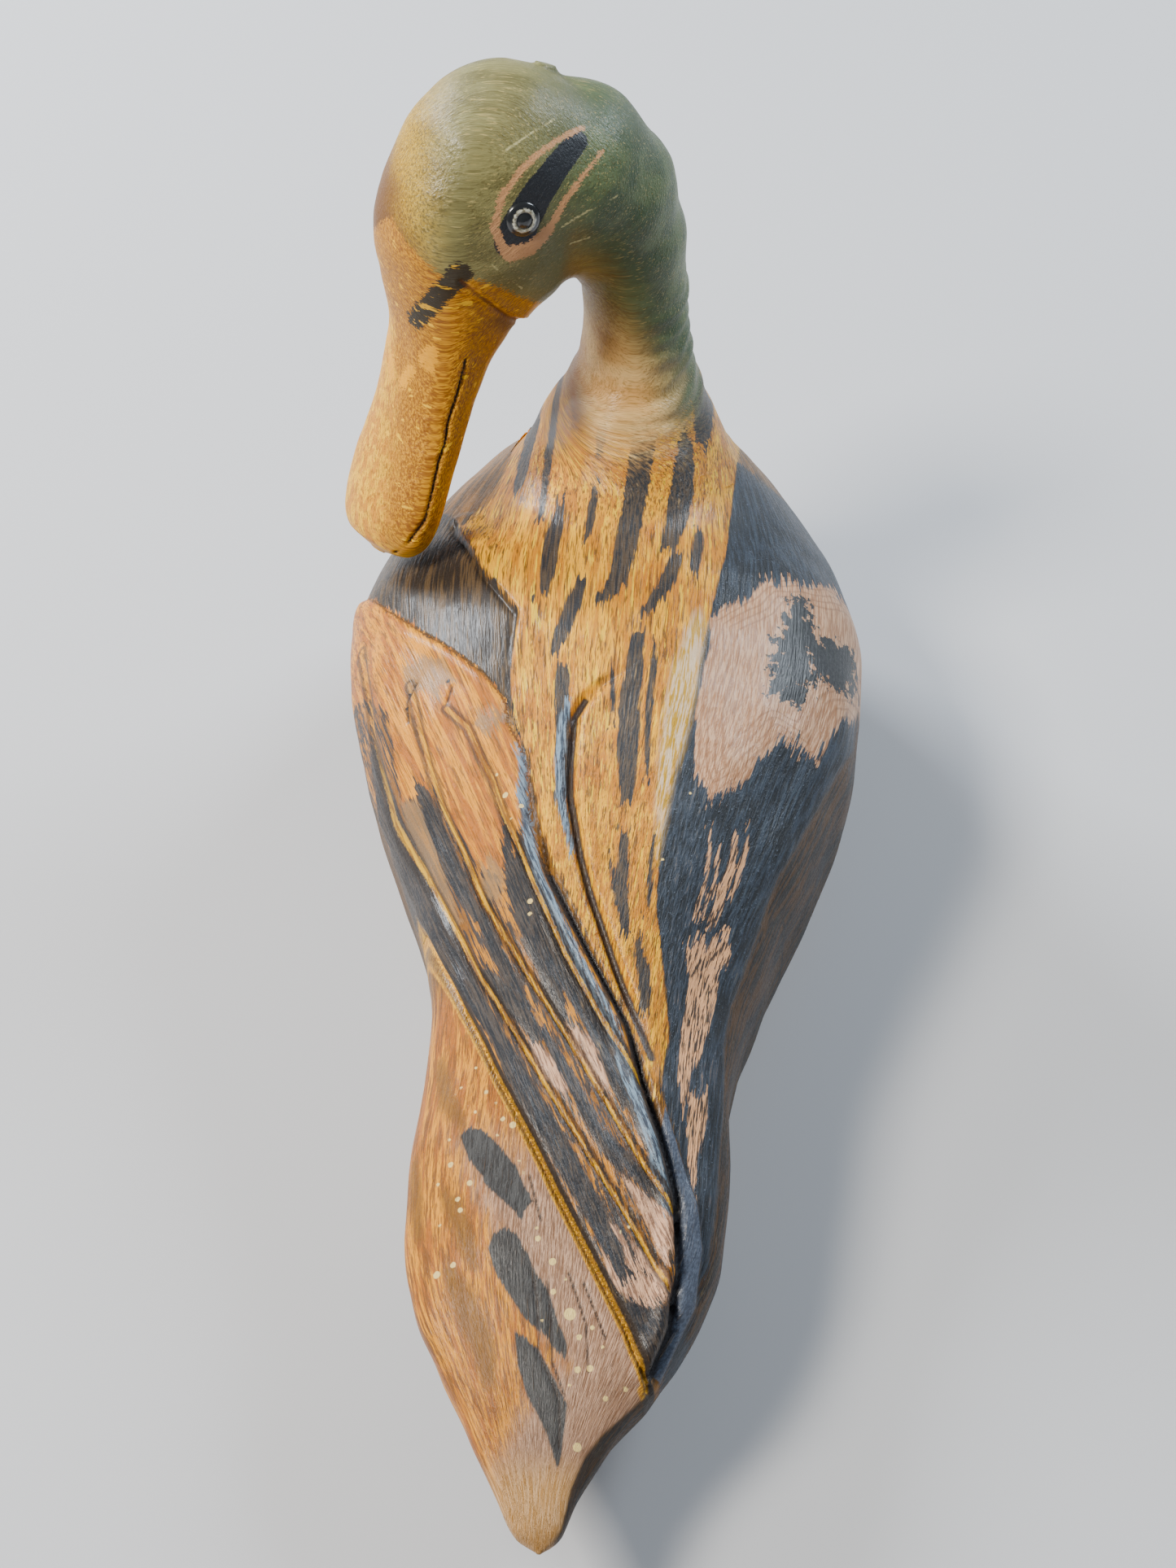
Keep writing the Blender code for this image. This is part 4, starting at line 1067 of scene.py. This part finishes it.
    # grooves, the bevel of the wing's lower edge, cracks and specks, with painted light and shade on the
    # slopes of the cuts
    gold_edge = times(by_speck, 0.4, p.distance("gold"))
    above_side = ramp(side, -4.5, -2.5)
    fading = times(ramp(py, -0.032, -0.004, 0.25, 1), above_side)
    reach = times(ramp(along, 0, 14), ramp(wing, 2.2, 1.6))
    reach = times(reach, ramp(side, -2.5, 0))
    # The golden bevel of the wing's lower edge is partly a painted highlight on the lit slope, and the dark
    # line beside it is painted shade on the other slope.
    bevel = times(ramp(tail, -1.5, -1.2), ramp(tail, 0.25, 0))
    line = times(ramp(tail, 0.15, 0.4), ramp(tail, 1.2, 0.9))
    # A thin dark band beside each gold line: painted shadow of the cut.
    shade = times(times(ramp(gold_edge, 0.3, 0.5), ramp(gold_edge, 1.3, 0.8)), above_side)
    # The darkest colour in the cut of the wing edge and the crescent is black paint and partly painted
    # shade.
    deep_cut_shade_edge = times(by_streak_two, 0.6, p.distance("deep_cut_shade"))
    dots, holes, _ = p.parts(p.attribute("dots"))
    colour = over(
        colour,
        (times(ramp(gold_edge, 0.25, 0.45, 0.9, 0), fading), tone(streak, (206, 160, 88), (128, 88, 44))),
        (times(bevel, reach), tone(speck, (222, 168, 76), (168, 116, 46))),
        (times(line, reach), srgb(46, 38, 32)),
        (times(shade, 0.7), srgb(40, 33, 28)),
        (ramp(deep_cut_shade_edge, 0.5, 0.95, 0.95, 0), srgb(34, 32, 34)),
        (ramp(p.distance("cracks"), 0.1, 0.4, 0.85, 0), srgb(44, 36, 32)),
        (ramp(holes, -0.1, 0.15, 1, 0), srgb(24, 20, 18)),
        (p.within(dots, 0.08), srgb(226, 202, 148)),
    )

    # head and neck
    olive = tone(blotch, (134, 130, 96), (108, 104, 74))
    # Golden on the far left of the head: partly paint, partly a painted highlight on the side turned to the
    # light.
    olive = mix(ramp(px, 0.030, 0.044), olive, tone(fine, (206, 164, 62), (152, 116, 42)))
    head = flecked(
        mix(ramp(px, 0.024, 0.004), olive, tone(blotch, (72, 86, 66), (94, 106, 80))),
        (scratch, 0.60, 0.66, 0.6, (184, 170, 126)),
        (fine, 0.52, 0.64, 0.45, (78, 72, 44)),
    )
    neck = tone(blotch, (238, 206, 156), (208, 168, 120))
    neck = mix(ramp(pz, 0.084, 0.104), neck, tone(fine, (142, 128, 84), (100, 88, 58)))
    neck = flecked(
        neck,
        (fine, 0.5, 0.64, 0.5, (140, 106, 76)),
        # Reddish brown along the lower left edge of the neck: partly paint, partly painted shade.
        (times(pz, -0.12, px), -0.005, 0.001, 0.9, (104, 66, 30)),
    )
    fade = p.calc("ADD", times(px, -2.1, pz), ramp(px, 0.009, 0.018, 0, 0.06))
    head = mix(ramp(times(by_blotch, 0.02, fade), 0.090, 0.112), neck, head)
    bill = mix(
        ramp(times(by_blotch, 14, across), -3, 5),
        tone(grain, (238, 184, 36), (206, 142, 20)),
        tone(fine, (204, 148, 38), (150, 100, 26)),
    )
    bill = flecked(
        bill, (streak_two, 0.54, 0.6, 0.7, (132, 82, 28)), (flakes, 0.65, 0.665, 1, (240, 188, 60))
    )
    head = mix(p.within(times(by_speck, 4, p.distance("bill")), 0.4), head, bill)
    lore = flecked(srgb(52, 46, 36), (dabs, 0.62, 0.64, 0.9, (232, 180, 50)))
    for mark, edge, paint in (
        ("lore", 2.6, lore), ("eye_stripe", 0.5, srgb(38, 41, 46)), ("lash", 1.3, srgb(190, 150, 118)),
    ):
        head = mix(p.within(times(by_speck, edge * 1.6, p.distance(mark)), 0.12), head, paint)
    for mark, width, paint in (("scratches", 0.2, (196, 190, 150)), ("chips", 1.2, (232, 168, 30))):
        d = times(by_speck, 3 * width, p.distance(mark))
        head = mix(ramp(d, width - 0.1, width + 0.1, 0.9, 0), head, srgb(*paint))
    # The dark brown in the gape groove and in the band just beyond it on the bill is painted shade under the
    # carved edge of the face.
    gape = p.distance("gape")
    below = times(ramp(gape, 1, 5, 0.7, 0), ramp(along, 17.5, 19))
    head = over(
        head,
        (ramp(p.distance("mouth"), 0.12, 0.42, 0.95, 0), srgb(38, 26, 16)),
        (ramp(gape, 0.15, 0.7, 0.8, 0), srgb(92, 54, 22)),
        (times(below, ramp(blotch, 0.40, 0.54)), srgb(86, 56, 26)),
    )
    p.set("Base Color", mix(ramp(times(by_streak, 1.2, upper), 0.1, 0.75), colour, head))

    rough = ramp(speck, 0.36, 0.64, 0.46, 0.64)
    p.set("Roughness", p.calc("ADD", rough, ramp(side, -2, -12, 0, 0.25)))
    relief = times(fine, 0.5, streak)
    p.set("Normal", p.bump(speck, 0.00018, 0.8, p.bump(relief, 0.00034, 0.85)))
    p.set("Coat Normal", p.bump(relief, 0.0002, 0.7))
    return p.material


def plain_wood(name, light, dark, rough):
    p = Paint(name, Roughness=rough)
    grain = p.noise(p.place(), (900, 45, 900), (0, 0, 0), 3, 0.6, 0.4)
    pores = p.noise(p.place(), (2600, 160, 2600), (0, 0, 0), 2, 0.6)
    colour = p.tone(grain, light, dark, 0.35, 0.65)
    p.set("Base Color", p.flecked(colour, (pores, 0.6, 0.75, 0.5, [c * 0.6 for c in dark])))
    p.set("Normal", p.bump(pores, 0.0002, 0.7))
    return p.material


def aged_metal(name, bright, dull, rough_low, rough_high, metallic=1.0):
    p = Paint(name, Metallic=metallic)
    cloud = p.noise(p.place(), (420, 420, 420), (0, 0, 0), 4, 0.65)
    marks = p.noise(p.place(), (3000, 3000, 3000), (0, 0, 0), 2, 0.6)
    p.set("Base Color", p.tone(cloud, bright, dull, 0.4, 0.65))
    p.set("Roughness", p.ramp(cloud, 0.35, 0.7, rough_low, rough_high))
    p.set("Normal", p.bump(marks, 0.00005, 0.5))
    return p.material


def eye_material(name):
    """Dark glass with a painted ring, told apart by the distance from the middle of the eye."""
    p = Paint(name, Roughness=0.22, Coat_Weight=0.6)
    ex, ey, _ = p.parts(p.place())
    radius = p.calc("SQRT", p.times(ex, ex, p.times(ey, ey)))
    wear = p.noise(p.place(), (1600, 1600, 1600), (0, 0, 0), 3, 0.6)
    worn = p.times(p.calc("SUBTRACT", wear, 0.5), 0.0007, radius)
    ring = p.times(p.ramp(worn, 0.00150, 0.00170), p.ramp(worn, 0.00215, 0.00240, 1, 0))
    silver = p.tone(wear, (196, 196, 184), (120, 116, 100), 0.4, 0.6)
    p.set("Base Color", p.mix(ring, srgb(34, 36, 38), silver))
    return p.material


# ---------------------------------------------------------------- pieces
def carved_piece(name, field, low, high, step, is_head):
    points, quads = surface_net(field, low, high, step)
    rest = settle(points, field)
    normal = slopes(field, rest, 0.5)
    normal /= np.linalg.norm(normal, axis=1)[:, None] + 1e-9
    carved = rest + normal * carve_all(*rest.T, is_head)[:, None]
    obj = make_object(name, carved, quads)
    paint_attributes(obj, rest, is_head)
    return obj


def carve_all(x, y, z, is_head):
    """The same cuts run across the joint between the neck and the breast."""
    share = head_share(x, y, z, is_head)
    keep = ramp(z, SHELL_BOTTOM + 0.3, SHELL_BOTTOM + 2.5)
    low = share < 1
    out = np.zeros(x.shape)
    out[low] += ((1 - share) * keep)[low] * carve_body(x[low], y[low], z[low])
    if is_head:
        out += share * carve_head(x, y, z)
    return out


STEP = 0.45
body = carved_piece("duck_body", body_piece, (-54, -131, 7.5), (57, 123, 75), STEP, False)
head = carved_piece("duck_head", head_piece, (-29, -131, 51.5), (58, -60, 150), STEP * 0.9, True)
body.data.materials.append(painted_wood("body_paint"))
head.data.materials.append(painted_wood("head_paint"))
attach(body, "duck")
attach(head, "duck")
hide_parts("body_shell")
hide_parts("head_and_neck")


EYE_SIDES = 64
EYE_PROFILE = [
    (0, 1.15), (0.5, 1.1), (1, 0.95), (1.35, 0.72), (1.5, 0.62), (1.65, 0.78), (1.9, 0.86), (2.15, 0.74),
    (2.35, 0.5), (2.7, 0.42), (3.1, 0.2), (3.35, -0.15), (3.4, -0.6), (3.4, -2.4), (0, -2.4),
]


def make_eye(name, side):
    points, quads = [], []
    for radius, height in EYE_PROFILE:
        for k in range(EYE_SIDES):
            a = 2 * math.pi * k / EYE_SIDES
            points.append((radius * math.cos(a), radius * math.sin(a), height))
    for i in range(0, len(points) - EYE_SIDES, EYE_SIDES):
        for k in range(EYE_SIDES):
            n = (k + 1) % EYE_SIDES
            quads.append((i + k, i + EYE_SIDES + k, i + EYE_SIDES + n, i + n))
    obj = make_object(name, np.array(points), np.array(quads))
    f, l, u = EYE_SPOT
    spot = HEAD_CENTRE + FORWARD * f + CROWN * u + CHEEK * l * side
    spot = settle(spot[None, :], head_piece)[0]
    out = Vector(unit(slopes(head_piece, spot[None, :], 1.5)[0]))
    turn = out.to_track_quat("Z", "Y").to_matrix().to_4x4()
    obj.matrix_world = Matrix.Translation(Vector(spot * MM)) @ turn
    return obj


for side, label in ((1, "left"), (-1, "right")):
    eye = make_eye("glass_eye_" + label, side)
    eye.data.materials.append(eye_material("eye_paint_" + label))
    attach(eye, "duck")
    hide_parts("eye_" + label)


def dress(node, material):
    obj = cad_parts[node]
    obj.data.materials.clear()
    obj.data.materials.append(material)


dress("bottom_board", plain_wood("board_wood", (150, 112, 72), (104, 74, 46), 0.6))
dress("neck_dowel", plain_wood("dowel_wood", (206, 172, 122), (176, 138, 92), 0.65))
brass_nodes = ["line_tie_ring", "line_tie_staple", "ballast_screw_1", "ballast_screw_2"]
brass_nodes += ["board_screw_%d" % k for k in range(1, 6)]
for node in brass_nodes:
    dress(node, aged_metal(node + "_brass", (184, 146, 76), (108, 84, 50), 0.3, 0.55))
for node in ("neck_screw", "neck_washer"):
    dress(node, aged_metal(node + "_zinc", (176, 174, 168), (120, 120, 116), 0.35, 0.55))
dress("ballast_weight", aged_metal("lead", (118, 121, 126), (74, 76, 80), 0.5, 0.75, 0.6))

# ---------------------------------------------------------------- floor, light, camera
floor_mesh = bpy.data.meshes.new("floor")
floor_mesh.from_pydata([(-3, -3, 0), (3, -3, 0), (3, 3, 0), (-3, 3, 0)], [], [(0, 1, 2, 3)])
floor_mesh.materials.append(Paint("floor_paint", Base_Color=srgb(190, 190, 192), Roughness=0.9).material)
floor = link("floor", floor_mesh)


def area_light(name, spot, target, size, power, colour):
    lamp = bpy.data.lights.new(name, "AREA")
    lamp.shape = "RECTANGLE"
    lamp.size, lamp.size_y = size
    lamp.energy = power
    lamp.color = colour
    way = Vector(target) - Vector(spot)
    turn = way.to_track_quat("-Z", "Y").to_matrix().to_4x4()
    link(name, lamp).matrix_world = Matrix.Translation(Vector(spot)) @ turn


area_light("window", (-0.52, -0.54, 0.60), (0, 0.0, 0.05), (0.34, 0.30), 8.5, (0.80, 0.90, 1.0))
area_light("sky", (0.56, -0.56, 0.56), (0, -0.05, 0.07), (0.26, 0.28), 12.0, (0.88, 0.94, 1.0))
area_light("lamp", (0.66, 0.26, 0.95), (0, 0, 0.05), (0.3, 0.3), 19.0, (1.0, 0.95, 0.86))
world = bpy.data.worlds.new("room")
world.use_nodes = True
background = world.node_tree.nodes["Background"]
background.inputs["Color"].default_value = (0.80, 0.84, 0.90, 1.0)
background.inputs["Strength"].default_value = 0.17
bpy.context.scene.world = world

# The camera looks down by the tilt, from behind the tail and a little to its right.
CAMERA_SPOT = (-0.01875, 0.2790, 0.38125)
LENS, SENSOR = 54.1, 36.0
tilt, yaw = math.radians(48), math.radians(4)
look = Vector((math.sin(yaw) * math.cos(tilt), -math.cos(yaw) * math.cos(tilt), -math.sin(tilt)))
right_way = Vector((-math.cos(yaw), -math.sin(yaw), 0.0))
up_way = right_way.cross(look)
camera_data = bpy.data.cameras.new("camera")
camera_data.sensor_fit = "VERTICAL"
camera_data.sensor_height = SENSOR
camera_data.lens = LENS
camera_data.clip_start = 0.01
camera = link("camera", camera_data)
turn = Matrix((right_way, up_way, -look)).transposed().to_4x4()
camera.matrix_world = Matrix.Translation(Vector(CAMERA_SPOT)) @ turn
bpy.context.scene.camera = camera
